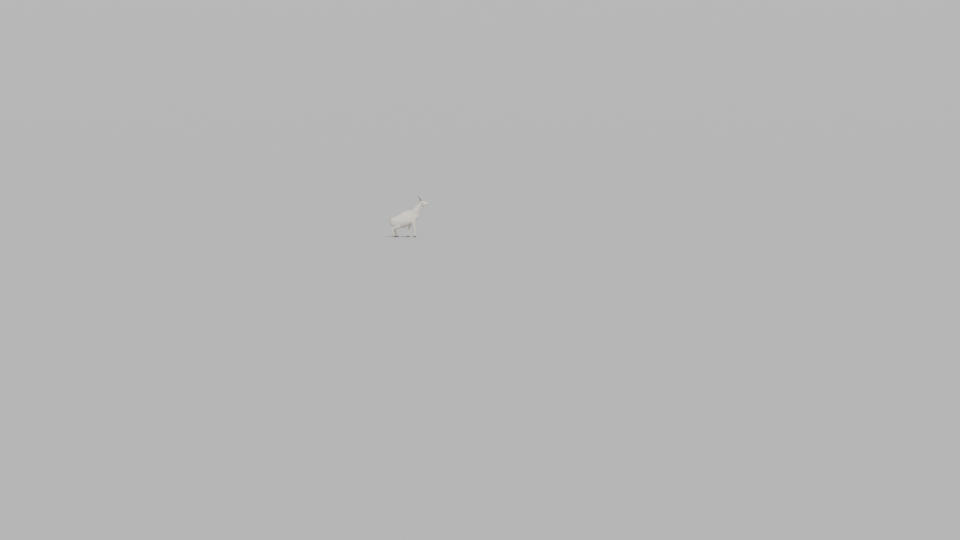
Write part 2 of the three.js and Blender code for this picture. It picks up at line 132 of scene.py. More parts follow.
def hump(values: Array, middle: float, width: float) -> Array:
    """A smooth hump that is 1 at its middle and fades away over about its width."""
    return np.exp(-(((values - middle) / width) ** 2))


def turned(vectors: Array, axes: Array, angles: Array) -> Array:
    """Vectors square to their axes, turned round them."""
    side = np.cross(axes, vectors)
    return unit(vectors * np.cos(angles)[:, None] + side * np.sin(angles)[:, None])


def waves(points: Array, size: float, seed: int, count: int = 9) -> Array:
    """A smooth random field over points.

    Args:
        points: places in metres.
        size: the usual distance from a crest to the next, in metres.
        seed: which field.
        count: how many plain waves are summed.

    Returns:
        Values around 0, mostly between -1 and 1.
    """
    draw = np.random.default_rng(SEED + seed)
    turns = unit(draw.normal(size=(count, 3))) * draw.uniform(0.7, 1.4, (count, 1))
    starts = draw.uniform(0, 2 * math.pi, count)
    return np.sin(points @ turns.T * (2 * math.pi / size) + starts).sum(axis=1) / math.sqrt(count)


def swirl(points: Array, size: float, seed: int) -> Array:
    """Waves along all three axes, with seeds that follow each other."""
    return np.stack([waves(points, size, seed + axis) for axis in range(3)], axis=1)


def deselect() -> None:
    """Leaves nothing selected, in object mode."""
    if bpy.context.object and bpy.context.object.mode != "OBJECT":
        bpy.ops.object.mode_set(mode="OBJECT")
    bpy.ops.object.select_all(action="DESELECT")


def activate(*pieces: Piece) -> None:
    """Leaves only some pieces selected.

    Args:
        pieces: the first becomes the active one.
    """
    deselect()
    for piece in pieces:
        piece.select_set(True)
    bpy.context.view_layer.objects.active = pieces[0]


@contextmanager
def editing(piece: Piece) -> Iterator[None]:
    """Puts one piece into edit mode, with all of it selected, and out again.

    Args:
        piece: the object.

    Yields:
        Nothing.
    """
    activate(piece)
    bpy.ops.object.mode_set(mode="EDIT")
    bpy.ops.mesh.select_all(action="SELECT")
    yield
    bpy.ops.object.mode_set(mode="OBJECT")


def apply_modifier(piece: Piece, kind: str, **settings: object) -> None:
    """Adds a modifier to a piece and applies it.

    Args:
        piece: the object.
        kind: the modifier's type.
        settings: its properties.
    """
    activate(piece)
    modifier = piece.modifiers.new(kind.title(), kind)
    for name, value in settings.items():
        setattr(modifier, name, value)
    bpy.ops.object.modifier_apply(modifier=modifier.name)


def read(items: bpy.types.bpy_prop_collection, name: str, width: int = 1) -> Array:
    """Reads one property of all the items of a mesh.

    Args:
        items: its vertices, loops or the like.
        name: the property.
        width: how many numbers it has.

    Returns:
        The numbers, with a row for each item if the property has more than one.
    """
    whole = name in ("vertex_index", "loop_start")
    flat = np.empty(len(items) * width, np.int32 if whole else np.float32)
    items.foreach_get(name, flat)
    return flat if width == 1 else flat.reshape(-1, width).astype(np.float64)


def places_of(mesh: bpy.types.Mesh) -> Array:
    """The places of a mesh's vertices."""
    return read(mesh.vertices, "co", 3)


def normals_of(mesh: bpy.types.Mesh) -> Array:
    """The normals at a mesh's vertices."""
    return read(mesh.vertex_normals, "vector", 3)


def set_places(mesh: bpy.types.Mesh, places: Array) -> None:
    """Moves a mesh's vertices."""
    mesh.vertices.foreach_set("co", places.astype(np.float32).ravel())
    mesh.update()


def set_attribute(mesh: bpy.types.Mesh, name: str, values: Array) -> None:
    """Writes one number for each vertex of a mesh."""
    attribute = mesh.attributes.new(name, "FLOAT", "POINT")
    attribute.data.foreach_set("value", values.astype(np.float32))


def set_group(piece: Piece, name: str, values: Array, steps: int = 40) -> None:
    """Makes a vertex group.

    Args:
        piece: the object.
        name: the group's name.
        values: its weights, from 0 to 1.
        steps: how many levels the weights are rounded to.
    """
    group = piece.vertex_groups.new(name=name)
    levels = np.rint(np.clip(values, 0, 1) * steps).astype(int)
    for level in range(1, steps + 1):
        chosen = np.nonzero(levels == level)[0]
        if len(chosen):
            group.add(chosen.tolist(), level / steps, "REPLACE")


def merged_copy(nodes: list[Piece], name: str) -> Piece:
    """Joins copies of some nodes and merges their doubled vertices.

    Args:
        nodes: the frame's nodes, which stay as they are.
        name: the new object's name.

    Returns:
        The new object, with no material.
    """
    copies = []
    for node in nodes:
        copy = node.copy()
        copy.data = node.data.copy()
        copy.parent = None
        copy.matrix_world = Matrix.Identity(4)
        bpy.context.collection.objects.link(copy)
        copies.append(copy)
    activate(*copies)
    if len(copies) > 1:
        bpy.ops.object.join()
    whole = bpy.context.view_layer.objects.active
    whole.name = name
    for key in list(whole.keys()):
        del whole[key]
    whole.data.materials.clear()
    with editing(whole):
        bpy.ops.mesh.remove_doubles(threshold=1e-5)
    return whole


class Slot(Enum):
    """Names for material slots."""

    COAT = "coat"
    HORN = "horn"
    HOOF = "hoof"
    EYE = "eye"


def wear(piece: Piece, material: bpy.types.Material) -> None:
    """Gives a piece its material, smooth faces and its body.

    Args:
        piece: the finished piece.
        material: its finish.
    """
    piece.data.materials.clear()
    piece.data.materials.append(material)
    piece.data.polygons.foreach_set("use_smooth", np.ones(len(piece.data.polygons), bool))
    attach(piece, ROOT)
    LOG.info("%s: %d faces", piece.name, len(piece.data.polygons))


# The lie and length of the coat over the whole body


@dataclass(frozen=True)
class Run:
    """A stretch of the body whose hair lies along its line.

    Each point is forward, side and up with the body's radius and the hair's length there, all
    in millimetres.
    """

    name: str
    points: tuple[tuple[float, float, float, float, float], ...]
    side: int = 0
    of_head: bool = False
    step: float = 0.0
    fall: float = 0.0  # how much the hair also falls, as a share of how much it lies along
    soft: float = 0.1  # how far the body's form is smoothed
    inset: float = 0.3  # the coat's depth as a share of its length

    def line(self) -> tuple[Array, Array]:
        """Lays the line out in the frame.

        Returns:
            The points' places, and their radii and hair lengths, in metres.
        """
        spots, sizes = [], []
        for forward, side, up, radius, hair in self.points:
            across = side * (self.side or 1)
            ahead = self.step * min(max(STEP_RATE * (STEP_TOP - up) / STEP_TOP, 0), 1)
            spot = head_place if self.of_head else place
            spots.append(spot(forward + ahead, across, up))
            sizes.append((radius * MM, hair * MM))
        return np.array(spots), np.array(sizes)


FACE_POINTS = (
    (350, 0, -20, 34, 4),
    (300, 0, -18, 42, 5.5),
    (226, 0, -16, 50, 8),
    (136, 0, -10, 64, 10),
    (60, 0, -8, 68, 14),
    (-10, 0, 0, 62, 19),
)
NECK_POINTS = (
    (190, 0, 1150, 70, 20),
    (122, 0, 1012, 90, 24),
    (50, 0, 902, 115, 27),
    (-46, 0, 776, 150, 29),
    (-150, 0, 640, 170, 29),
)
TRUNK_POINTS = (
    (150, 0, 768, 70, 28),
    (60, 0, 746, 150, 29),
    (-62, 0, 705, 215, 29),
    (-188, 0, 664, 240, 29),
    (-325, 0, 602, 250, 29),
    (-465, 0, 538, 235, 30),
    (-600, 0, 494, 195, 31),
    (-716, 0, 484, 165, 32),
    (-832, 0, 492, 100, 33),
)
FORELEG_RIGHT_POINTS = (
    (20, 78, 640, 78, 28),
    (-4, 90, 560, 74, 26),
    (-26, 94, 480, 62, 22),
    (-12, 90, 390, 44, 17),
    (4, 88, 290, 36, 14),
    (3, 88, 180, 29, 11.5),
    (0, 88, 92, 34, 11),
    (14, 88, 14, 38, 10),
)
FORELEG_LEFT_POINTS = (
    (-40, 78, 640, 78, 28),
    (-86, 90, 560, 74, 26),
    (-132, 94, 480, 62, 22),
    (-160, 90, 390, 44, 17),
    (-190, 88, 290, 36, 14),
    (-216, 88, 180, 29, 11.5),
    (-236, 88, 92, 34, 11),
    (-220, 88, 14, 38, 10),
)
HAUNCH_POINTS = (
    (-620, 88, 590, 110, 31),
    (-590, 100, 460, 140, 30),
    (-690, 102, 330, 70, 22),
)
GASKIN_POINTS = (
    (-484, 108, 382, 80, 26),
    (-552, 108, 356, 78, 24),
    (-630, 106, 320, 68, 21),
    (-752, 100, 286, 36, 16),
)
CANNON_POINTS = (
    (-772, 100, 312, 36, 16),
    (-742, 99, 228, 31, 13),
    (-706, 96, 120, 31, 11.5),
    (-676, 96, 54, 36, 10.5),
    (-658, 96, 14, 38, 10),
)
EAR_POINTS = (
    (42, 40, 30, 26, 10),
    (15, 89, 62, 27, 7),
    (-12, 138, 94, 10, 5),
)
TAIL_POINTS = (
    (-786, 0, 622, 30, 36),
    (-812, 0, 602, 28, 44),
    (-832, 0, 556, 28, 50),
    (-838, 0, 510, 18, 46),
)


def all_runs() -> list[Run]:
    """Lays out every stretch of the body.

    Returns:
        The stretches, with one for each side where there are two.
    """
    runs = [
        Run("face", FACE_POINTS, of_head=True, soft=0.05),
        Run("neck", NECK_POINTS, fall=0.15, soft=1.0),
        Run("trunk", TRUNK_POINTS, fall=0.5, soft=1.0),
        Run("tail", TAIL_POINTS, soft=0.2, inset=0.26),
    ]
    for side, fore, step in (
        (LEFT, FORELEG_LEFT_POINTS, STEP_LEFT),
        (RIGHT, FORELEG_RIGHT_POINTS, 0.0),
    ):
        runs += [
            Run("foreleg", fore, side, soft=0.06),
            Run("haunch", HAUNCH_POINTS, side, step=step, fall=0.5, soft=1.0),
            Run("gaskin", GASKIN_POINTS, side, step=step, fall=0.2, soft=0.35),
            Run("cannon", CANNON_POINTS, side, step=step, soft=0.04),
            Run("ear", EAR_POINTS, side, of_head=True, soft=0.03, inset=0.08),
        ]
    return runs


@dataclass
class Lie:
    """What the coat and body are like at some places."""

    flow: Array
    hair: Array
    soft: Array
    inset: Array
    nearest: Array


class BodyPlan:
    """The lie, length and depth of the coat at any place on the body."""

    SHARPNESS = 5.5
    BODY_HAIR, FACE_HAIR = 0.018, 0.016  # hair is longer than this on the body, shorter on the face

    # The hair is longer along the nape and withers: how much, the crest's half width, how far
    # its skin faces up, and where the crest begins by height and distance back.
    CREST, CREST_HALF, CREST_FACING = 0.45, 0.028, (0.3, 0.8)
    CREST_UP, CREST_BACK = (0.62, 0.80), (-0.36, -0.2)

    IN_EARS = 0.45  # how much shorter it is in the ears' hollows

    # Under the chin it is longer, round a place along the head and below a height there.
    CHIN, CHIN_AHEAD, CHIN_HALF, CHIN_UP = 1.1, 215, 60, (-58, -76)

    # Behind the fetlocks it is longer: how much, between which heights, and facing how far back.
    FETLOCK, FETLOCK_FACING = 0.9, (0.1, 0.6)
    FETLOCK_LOW, FETLOCK_HIGH = (0.070, 0.082), (0.125, 0.105)

    def __init__(self) -> None:
        """Lays out the runs."""
        self.runs = all_runs()
        self.names = sorted({run.name for run in self.runs})

    def is_near(self, nearest: Array, *names: str) -> Array:
        """Where the nearest run is one of some names."""
        return np.isin(nearest, [self.names.index(name) for name in names])

    def at(self, points: Array) -> Lie:
        """Works out the coat at some points.

        Args:
            points: places on or near the body.

        Returns:
            The lie of the hair and the rest, one row for each point.
        """
        apart, flows, hairs = map(np.array, zip(*(self._nearest(run, points) for run in self.runs)))
        weights = np.exp(-self.SHARPNESS * (apart - apart.min(axis=0)))
        weights /= weights.sum(axis=0)

        def blended(value: str) -> Array:
            """One of the runs' values, blended by how near they are."""
            return np.array([getattr(run, value) for run in self.runs]) @ weights

        flow = np.einsum("rp,rpk->pk", weights, flows)
        flow[:, 2] -= blended("fall")
        hair = (weights * hairs).sum(axis=0)
        names = np.array([self.names.index(run.name) for run in self.runs])
        nearest = names[apart.argmin(axis=0)]
        return Lie(unit(flow), hair, blended("soft"), hair * blended("inset"), nearest)

    @staticmethod
    def _nearest(run: Run, points: Array) -> tuple[Array, Array, Array]:
        """Finds the nearest place on a run.

        Args:
            run: the run.
            points: places on or near the body.

        Returns:
            How far each point is from it, in radii, with its direction and hair length there.
        """
        spots, sizes = run.line()
        best = np.full(len(points), np.inf)
        flow = np.zeros((len(points), 3))
        hair = np.zeros(len(points))
        for i in range(len(spots) - 1):
            step = spots[i + 1] - spots[i]
            t = np.clip((points - spots[i]) @ step / (step @ step), 0, 1)
            middle = spots[i] + t[:, None] * step
            size = sizes[i] + t[:, None] * (sizes[i + 1] - sizes[i])
            far = np.linalg.norm(points - middle, axis=1) / size[:, 0]
            closer = far < best
            best[closer] = far[closer]
            flow[closer] = unit(step)
            hair[closer] = size[closer, 1]
        return best, flow, hair

    def dress(self, points: Array, normals: Array) -> Lie:
        """Works out the coat on the skin, with the lie turned along it.

        Args:
            points: places on the skin.
            normals: the ways that it faces there.

        Returns:
            The coat there, longer or shorter at a few places than the runs say.
        """
        lie = self.at(points)
        across = (lie.flow * normals).sum(axis=1, keepdims=True)
        lie.flow = unit(lie.flow - across * normals)
        up, head = points[:, 2], to_head(points)
        crest = hump(points[:, 0], 0, self.CREST_HALF) * smooth(*self.CREST_FACING, normals[:, 2])
        crest *= smooth(*self.CREST_UP, up) * smooth(*self.CREST_BACK, points[:, 1])
        lie.hair = lie.hair * (1 + self.CREST * crest * (lie.hair > self.BODY_HAIR))
        for hand in (LEFT, RIGHT):
            lie.hair = lie.hair * (1 - self.IN_EARS * Ear(hand).hollow(points, normals))
        chin = hump(head[:, 0], self.CHIN_AHEAD, self.CHIN_HALF) * smooth(*self.CHIN_UP, head[:, 2])
        lie.hair = lie.hair * (1 + self.CHIN * chin * (lie.hair < self.FACE_HAIR))
        fetlock = smooth(*self.FETLOCK_LOW, up) * smooth(*self.FETLOCK_HIGH, up)
        fetlock *= smooth(*self.FETLOCK_FACING, normals[:, 1])
        lie.hair = lie.hair * (1 + self.FETLOCK * fetlock)
        return lie


@dataclass
class Ear:
    """The hollow of one ear, in shares of the ear's line or millimetres."""

    hand: int
    facing: Point = (0.86, 0.30, 0.25)
    half_width: float = 20.0
    deeper: float = 5.0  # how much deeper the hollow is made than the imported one
    rim: Span = (1.05, 0.45)  # where the hollow starts and is full, in half widths
    foot: Span = (0.18, 0.4)
    end: Span = (0.97, 0.85)
    facing_rise: Span = (0.1, 0.5)
    outline: Point = (0.12, 0.9, 0.05)  # the widths' half wave: its start, its length, the least
    reach: float = 0.034

    def tip(self) -> Array:
        """Where the ear's tip is."""
        ahead, side, up = EAR_POINTS[-1][:3]
        return head_place(ahead, side * self.hand, up)

    def hollow(self, places: Array, normals: Array) -> Array:
        """Finds the hollow.

        Args:
            places: points on the skin.
            normals: the ways that they face.

        Returns:
            How far each is inside it, from 0 at its rim to 1.
        """
        ahead, side, up = EAR_POINTS[0][:3]
        foot = head_place(ahead, side * self.hand, up)
        line = self.tip() - foot
        length = np.linalg.norm(line)
        ahead, side, up = self.facing
        front = head_direction(ahead, side * self.hand, up)
        front = unit(front - line * (front @ line) / length**2)
        local = places - foot
        t = local @ line / length**2
        wide = np.abs(local @ np.cross(line / length, front)) / MM
        start, run, least = self.outline
        half = self.half_width * np.clip(np.sin(math.pi * np.clip(start + run * t, 0, 1)), least, 1)
        inside = smooth(*self.rim, wide / half) * smooth(*self.foot, t) * smooth(*self.end, t)
        near = np.linalg.norm(local - np.clip(t, 0, 1)[:, None] * line, axis=1) < self.reach
        return inside * smooth(*self.facing_rise, normals @ front) * near


# The one skin over all the flesh


@dataclass
class Eyes:
    """Where the eyes sit in the head, in its own millimetres."""

    forward: float = 132.0
    side: float = 47.0
    up: float = 28.0
    radius: float = 18.5
    half_width: float = 13.3
    half_height: float = 8.6
    lower_share: float = 0.84  # the lower lid's opening as a share of the upper one's
    outward: Point = (0.34, 0.92, 0.16)
    level: Point = (1, 0, 0.03)

    def centre(self, hand: int) -> Array:
        """The middle of an eyeball."""
        return head_place(self.forward, self.side * hand, self.up)

    def axes(self, hand: int) -> tuple[Array, Array, Array]:
        """Works out the directions of one eye.

        Args:
            hand: which eye.

        Returns:
            Ahead along the face, up, and out.
        """
        ahead, side, up = self.outward
        out = head_direction(ahead, side * hand, up)
        level = head_direction(*self.level)
        ahead = unit(level - out * (level @ out))
        return ahead, unit(np.cross(out, ahead) * hand), out

    def local(self, places: Array, hand: int) -> tuple[Array, Array, Array]:
        """Places as millimetres ahead, up and out from an eyeball's middle."""
        offsets = (places - self.centre(hand)) / MM
        return tuple(offsets @ axis for axis in self.axes(hand))

    def opening(self, h: Array, v: Array) -> Array:
        """How far from the middle of the opening, where 1 is at the lids' edges."""
        half_height = self.half_height * np.where(v > 0, 1.0, self.lower_share)
        return np.sqrt((h / self.half_width) ** 2 + (v / half_height) ** 2)


class FaceLines:
    """Lines on the face, in the head's own millimetres, for one side."""

    MOUTH: Line = (
        (334, 0, -49),
        (330, 12, -50),
        (320, 21, -50),
        (306, 28, -49),
        (286, 31, -48),
        (266, 33, -46),
    )
    NOSTRIL: Line = (
        (337, 8, -31),
        (338, 12, -24),
        (335, 17, -17),
        (330, 22, -14),
        (323, 26, -15),
    )
    CHEEK: Line = (
        (150, 60, 2),
        (180, 52, -8),
        (215, 44, -18),
    )
    JAW: Line = (
        (252, 33, -43),
        (190, 40, -39),
        (100, 55, -34),
    )

    STEPS, EVENED = 6, 5  # places between a laid line's corners, and rounds of smoothing

    @staticmethod
    def folded(points: Array) -> Array:
        """Head points, all on one side."""
        return np.stack((points[:, 0], np.abs(points[:, 1]), points[:, 2]), axis=1)

    @classmethod
    def laid(cls, points: Array, line: Line) -> Array:
        """Lays a line on the surface that some head points belong to.

        Args:
            points: the surface's points.
            line: the line's corners, near the surface.

        Returns:
            The closer and evened line.
        """
        corners = np.array(line, float)
        ends = zip(corners[:-1], corners[1:])
        spread = [np.linspace(a, b, cls.STEPS, endpoint=False) for a, b in ends]
        dense = np.concatenate((*spread, corners[-1:]))
        surface = cls.folded(points)
        nearest = [((surface - spot) ** 2).sum(axis=1).argmin() for spot in dense]
        laid = surface[nearest]
        for _ in range(cls.EVENED):
            laid[1:-1] = (laid[:-2] + 2 * laid[1:-1] + laid[2:]) / 4
        return laid

    @classmethod
    def distance(cls, points: Array, line: Line | Array) -> Array:
        """Measures how far head points are from a line.

        Args:
            points: the points, on either side.
            line: the line's corners.

        Returns:
            Millimetres for each point.
        """
        folded = cls.folded(points)
        best = np.full(len(points), np.inf)
        corners = np.array(line, float)
        for start, end in zip(corners[:-1], corners[1:]):
            step = end - start
            t = np.clip((folded - start) @ step / max(step @ step, 1e-9), 0, 1)
            best = np.minimum(best, np.linalg.norm(folded - start - t[:, None] * step, axis=1))
        return best


@dataclass(frozen=True)
class Fold:
    """A ridge beside a line on the skin, or a groove if its height is below 0, in millimetres."""

    height: float
    beside: float
    width: float

    def of(self, distance: Array) -> Array:
        """How far the skin stands out at some distances from the line."""
        return self.height * hump(distance, self.beside, self.width)


@dataclass(frozen=True)
class Ruffle:
    """An uneven wave: its strength, size in metres and seed."""

    strength: float
    size: float
    seed: int

    def at(self, points: Array) -> Array:
        """The wave at some points."""
        return self.strength * waves(points, self.size, self.seed)


@dataclass
class Skin:
    """The skin: one closed surface that stands for every node of flesh."""

    plan: BodyPlan
    eyes: Eyes
    flesh: tuple[str, ...] = (
        "trunk",
        "neck",
        "head",
        "tail",
        "ear_left",
        "ear_right",
        "foreleg_left",
        "foreleg_right",
        "hindleg_left",
        "hindleg_right",
    )
    voxel: float = 0.0042
    overlap: float = 0.001
    kept_share: float = 0.42
    kept_contrast: float = 8.0
    slimmed: float = 0.08  # how much narrower the snout's middle is made
    hollow_painted_shade: float = 0.38  # painted shade: how much darker the skin is painted in an ear's hollow
    sole_depth: float = 0.0048  # how far the skin is drawn in under the hooves
    wide_rounds: int = 110  # of smoothing where the body is soft

    # Balls that fill the seats of the horns, and of the beard by their place ahead and radius.
    HORN_SEAT, HORN_PLUG, EYE_PLUG = (74, 25, 46), 0.027, 0.0015
    BEARD_SEAT = ((176, 33), (196, 31), (216, 29), (236, 27.5), (256, 26), (274, 25))
    BEARD_SEAT_UP = -54

    # How far the form is smoothed along the jaw, within some millimetres, and at the elbows,
    # between some heights and ahead of a place.
    JAW_SOFT, JAW_REACH = 0.7, (26, 10)
    ELBOW_SOFT, ELBOW_LOW, ELBOW_HIGH, ELBOW_BACK = 0.95, (0.38, 0.47), (0.72, 0.62), (0.2, 0.1)

    EAR_THINS = (0.004, 0.05)  # from an ear's tip, how far the coat's depth takes to be full
    SOLE_BAND = (0.008, -0.004)  # above and below the coronet
    HEAD_AHEAD, HEAD_HIGH = (-10, 40), (-150, -90)  # where the skin keeps all its faces

    # The faces are divided this close to the nostrils, mouth and eyes, and again closer.
    FINE_ROUNDS, NOSTRIL_FINE, MOUTH_FINE, EYE_FINE, EYE_ROUND = (1.0, 0.55), 22, 13, 36, 0.8

    SNOUT = (150, 215), (325, 290)  # where the snout starts and ends
    FEET_BARE = (0.001, -0.003)  # above and below the coronet

    # The folds of the mouth, nostrils and cheeks, and where along the head the lips are full.
    LIP_FULL, LIP = (262, 292), Fold(1.5, 5.5, 2.8)
    MOUTH_CORNER, MOUTH_FRONT = Fold(-0.8, 0, 1.7), Fold(-1.9, 0, 1.7)
    NOSTRIL_WING, NOSTRIL_HOLE, CHEEK = Fold(1.6, 7, 3.0), Fold(-6.5, 0, 2.7), Fold(2.4, 0, 9)
    PHILTRUM, PHILTRUM_AHEAD = Fold(-1.4, 0, 1.5), (322, 332)
    PHILTRUM_LOW, PHILTRUM_HIGH = (-56, -48), (-14, -26)

    # The bare nose pad: its half width at each height on the muzzle, how soft its edge is, and
    # where it starts ahead, below and above.
    NOSE_PAD = ((-52, 4), (-49, 8), (-42, 6), (-34, 11), (-25, 16), (-16, 18), (-9, 13), (-5, 5))
    PAD_EDGE, PAD_AHEAD, PAD_LOW, PAD_HIGH = (1.08, 0.86), (312, 324), (-50.5, -48.5), (-3, -6)
    RAGGED = Ruffle(0.07, 0.009, 11)  # how uneven the bare skin's edges are
    RAGGED_PAD, RAGGED_SLIT, RAGGED_LIPS = 20, 8, 5  # and that in millimetres for each edge
    # A nostril's slit: how wide it is at its back, how much wider in front, and where that is.
    SLIT_BACK, SLIT_WIDER, SLIT_AHEAD, SLIT_EDGE = 2.5, 4.5, (316, 334), (1.5, -1)
    LIP_EDGE = ((2.0, 1.0), (0.7, 0.6))  # each end of the lips' edge, and how much more in front

    # The lids, as shares of the opening: where the eyeball shows, and the lid, its fold and rim.
    SHOWN, LID_OVER, LID_UNDER = (1.05, 0.93), 1.5, 4.5
    LID_REACH, LID_RIM, LID_FOLD = (2.5, 1.22), (1.30, 1.12), Fold(1.3, 1.75, 0.16)
    LID_NEAR, LID_FRONT, BALL_EDGE, COVER = (48, 40), (-14, -2), 30.0, 1.3
    FOLD_ABOVE = (1, 6)
    TEAR_AHEAD, TEAR_UP, TEAR_TONE = Fold(1, 16, 4.5), Fold(1, -3.0, 2.2), 0.9

    def build(self, nodes: dict[str, Piece]) -> Piece:
        """Makes the skin.

        Args:
            nodes: the frame's nodes by name.

        Returns:
            The finished skin, with its map and its attribute of bare places and painted shade.
        """
        feet = [name for name in nodes if name.startswith(("hoof_", "dewclaw_"))]
        skin = merged_copy([nodes[name] for name in (*self.flesh, *feet)], "skin")
        apply_modifier(skin, "DISPLACE", strength=self.overlap, mid_level=0.0)
        self._plug(skin)
        apply_modifier(skin, "REMESH", mode="VOXEL", voxel_size=self.voxel)
        self._keep_largest(skin)
        self._soften(skin)
        self._shrink(skin)
        self._thin_out(skin)
        self._refine(skin)
        bare = self._model_head(skin)
        skin.data.uv_layers.new(name=BAKE_MAP)
        with editing(skin):
            bpy.ops.uv.smart_project(angle_limit=math.radians(66), island_margin=0.002)
        set_attribute(skin.data, BARE_OR_SHADED, bare)
        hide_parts(*self.flesh)
        return skin

    def _plug(self, skin: Piece) -> None:
        """Fills the seats of the horns, eyes and beard with balls.

        Args:
            skin: the joined copies of the nodes, which the balls join.
        """
        deselect()
        balls = []
        ahead, side, up = self.HORN_SEAT
        for hand in (LEFT, RIGHT):
            for spot, radius in (
                (head_place(ahead, side * hand, up), self.HORN_PLUG),
                (self.eyes.centre(hand), self.eyes.radius * MM + self.EYE_PLUG),
                *((head_place(x, 0, self.BEARD_SEAT_UP), size * MM) for x, size in self.BEARD_SEAT),
            ):
                bpy.ops.mesh.primitive_uv_sphere_add(
                    segments=20, ring_count=14, radius=radius, location=spot
                )
                balls.append(bpy.context.object)
        activate(skin, *balls)
        bpy.ops.object.join()

    @staticmethod
    def _keep_largest(skin: Piece) -> None:
        """Deletes any speck or bubble that isn't part of the outer surface.

        Args:
            skin: the remeshed skin.
        """
        mesh = bmesh.new()
        mesh.from_mesh(skin.data)
        seen: set[int] = set()
        groups = []
        mesh.verts.ensure_lookup_table()
        for first in mesh.verts:
            if first.index in seen:
                continue
            seen.add(first.index)
            group, front = [], [first]
            while front:
                corner = front.pop()
                group.append(corner)
                for edge in corner.link_edges:
                    other = edge.other_vert(corner)
                    if other.index not in seen:
                        seen.add(other.index)
                        front.append(other)
            groups.append(group)
        groups.sort(key=len)
        for group in groups[:-1]:
            bmesh.ops.delete(mesh, geom=group, context="VERTS")
        mesh.to_mesh(skin.data)
        mesh.free()

    def _soften(self, skin: Piece) -> None:
        """Smooths the flat facets away, most on the body and least on the ears.

        Args:
            skin: the skin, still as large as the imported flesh.
        """
        places = places_of(skin.data)
        lie = self.plan.at(places)
        jaw = FaceLines.distance(to_head(places), FaceLines.JAW)
        elbow = smooth(*self.ELBOW_LOW, places[:, 2]) * smooth(*self.ELBOW_HIGH, places[:, 2])
        elbow *= smooth(*self.ELBOW_BACK, places[:, 1])
        soft = np.maximum(self.JAW_SOFT * smooth(*self.JAW_REACH, jaw), self.ELBOW_SOFT * elbow)
        set_group(skin, "soft", np.maximum(lie.soft, soft))
        rounds = self.wide_rounds
        apply_modifier(skin, "SMOOTH", factor=0.5, iterations=rounds, vertex_group="soft")
        apply_modifier(skin, "SMOOTH", factor=0.5, iterations=3)

    def _shrink(self, skin: Piece) -> None:
        """Draws the surface in by the coat's depth.

        Args:
            skin: the smoothed skin.
        """
        places = places_of(skin.data)
        lie = self.plan.at(places)
        thin = np.minimum(
            *(np.linalg.norm(places - Ear(hand).tip(), axis=1) for hand in (LEFT, RIGHT))
        )
        depth = (lie.inset + self.overlap) * smooth(*self.EAR_THINS, thin)
        low = smooth(*(CORONET_UP * MM + rim for rim in self.SOLE_BAND), places[:, 2])
        depth = depth * (1 - low) + self.sole_depth * low
        set_places(skin.data, places - normals_of(skin.data) * depth[:, None])
        apply_modifier(skin, "SMOOTH", factor=0.5, iterations=2)

    def _thin_out(self, skin: Piece) -> None:
        """Leaves the body fewer faces than the head.

        Args:
            skin: the skin in place.
        """
        head = to_head(places_of(skin.data))
        on_head = smooth(*self.HEAD_AHEAD, head[:, 0]) * smooth(*self.HEAD_HIGH, head[:, 2])
        set_group(skin, "plain", 1 - on_head)
        apply_modifier(
            skin,
            "DECIMATE",
            ratio=self.kept_share,
            vertex_group="plain",
            vertex_group_factor=self.kept_contrast,
        )

    def _refine(self, skin: Piece) -> None:
        """Divides the faces round the eyes, nostrils and mouth.

        Args:
            skin: the thinned skin.
        """
        mesh = skin.data
        eye = np.array((self.eyes.forward, self.eyes.side, self.eyes.up))
        for reach in self.FINE_ROUNDS:
            head = to_head(places_of(mesh))
            fine = FaceLines.distance(head, FaceLines.NOSTRIL) < self.NOSTRIL_FINE * reach
            fine |= FaceLines.distance(head, FaceLines.MOUTH) < self.MOUTH_FINE * reach
            eye_reach = self.EYE_FINE * max(reach, self.EYE_ROUND)
            fine |= np.linalg.norm(FaceLines.folded(head) - eye, axis=1) < eye_reach
            activate(skin)
            bpy.ops.object.mode_set(mode="EDIT")
            bpy.ops.mesh.select_mode(type="FACE")
            bpy.ops.object.mode_set(mode="OBJECT")
            corners, starts = read(mesh.loops, "vertex_index"), read(mesh.polygons, "loop_start")
            chosen = np.logical_and.reduceat(fine[corners], starts)
            mesh.vertices.foreach_set("select", np.zeros(len(fine), bool))
            mesh.edges.foreach_set("select", np.zeros(len(mesh.edges), bool))
            mesh.polygons.foreach_set("select", chosen)
            bpy.ops.object.mode_set(mode="EDIT")
            bpy.ops.mesh.subdivide(number_cuts=1, smoothness=0.6)
            bpy.ops.object.mode_set(mode="OBJECT")
        apply_modifier(skin, "TRIANGULATE")

    def _model_head(self, skin: Piece) -> Array:
        """Models the lids, nostrils and mouth.

        Args:
            skin: the skin, already in place.

        Returns:
            For each vertex how bare and dark it is, with painted shade in the ears' hollows.
        """
        places = places_of(skin.data)
        ahead = to_head(places)[:, 0]
        start, end = self.SNOUT
        places[:, 0] *= 1 - self.slimmed * smooth(*start, ahead) * smooth(*end, ahead)
        bare = smooth(*(CORONET_UP * MM + rim for rim in self.FEET_BARE), places[:, 2])
        for hand in (LEFT, RIGHT):
            places, lid = self._lids(places, hand)
            normals = normals_of(skin.data)
            ear = Ear(hand)
            hollow = ear.hollow(places, normals)
            places = places - normals * (hollow * ear.deeper * MM)[:, None]
            # Painted shade: the skin in each ear's hollow is painted darker, as well as deepened.
            bare = np.maximum(bare, np.maximum(lid, self.hollow_painted_shade * hollow))
        set_places(skin.data, places)

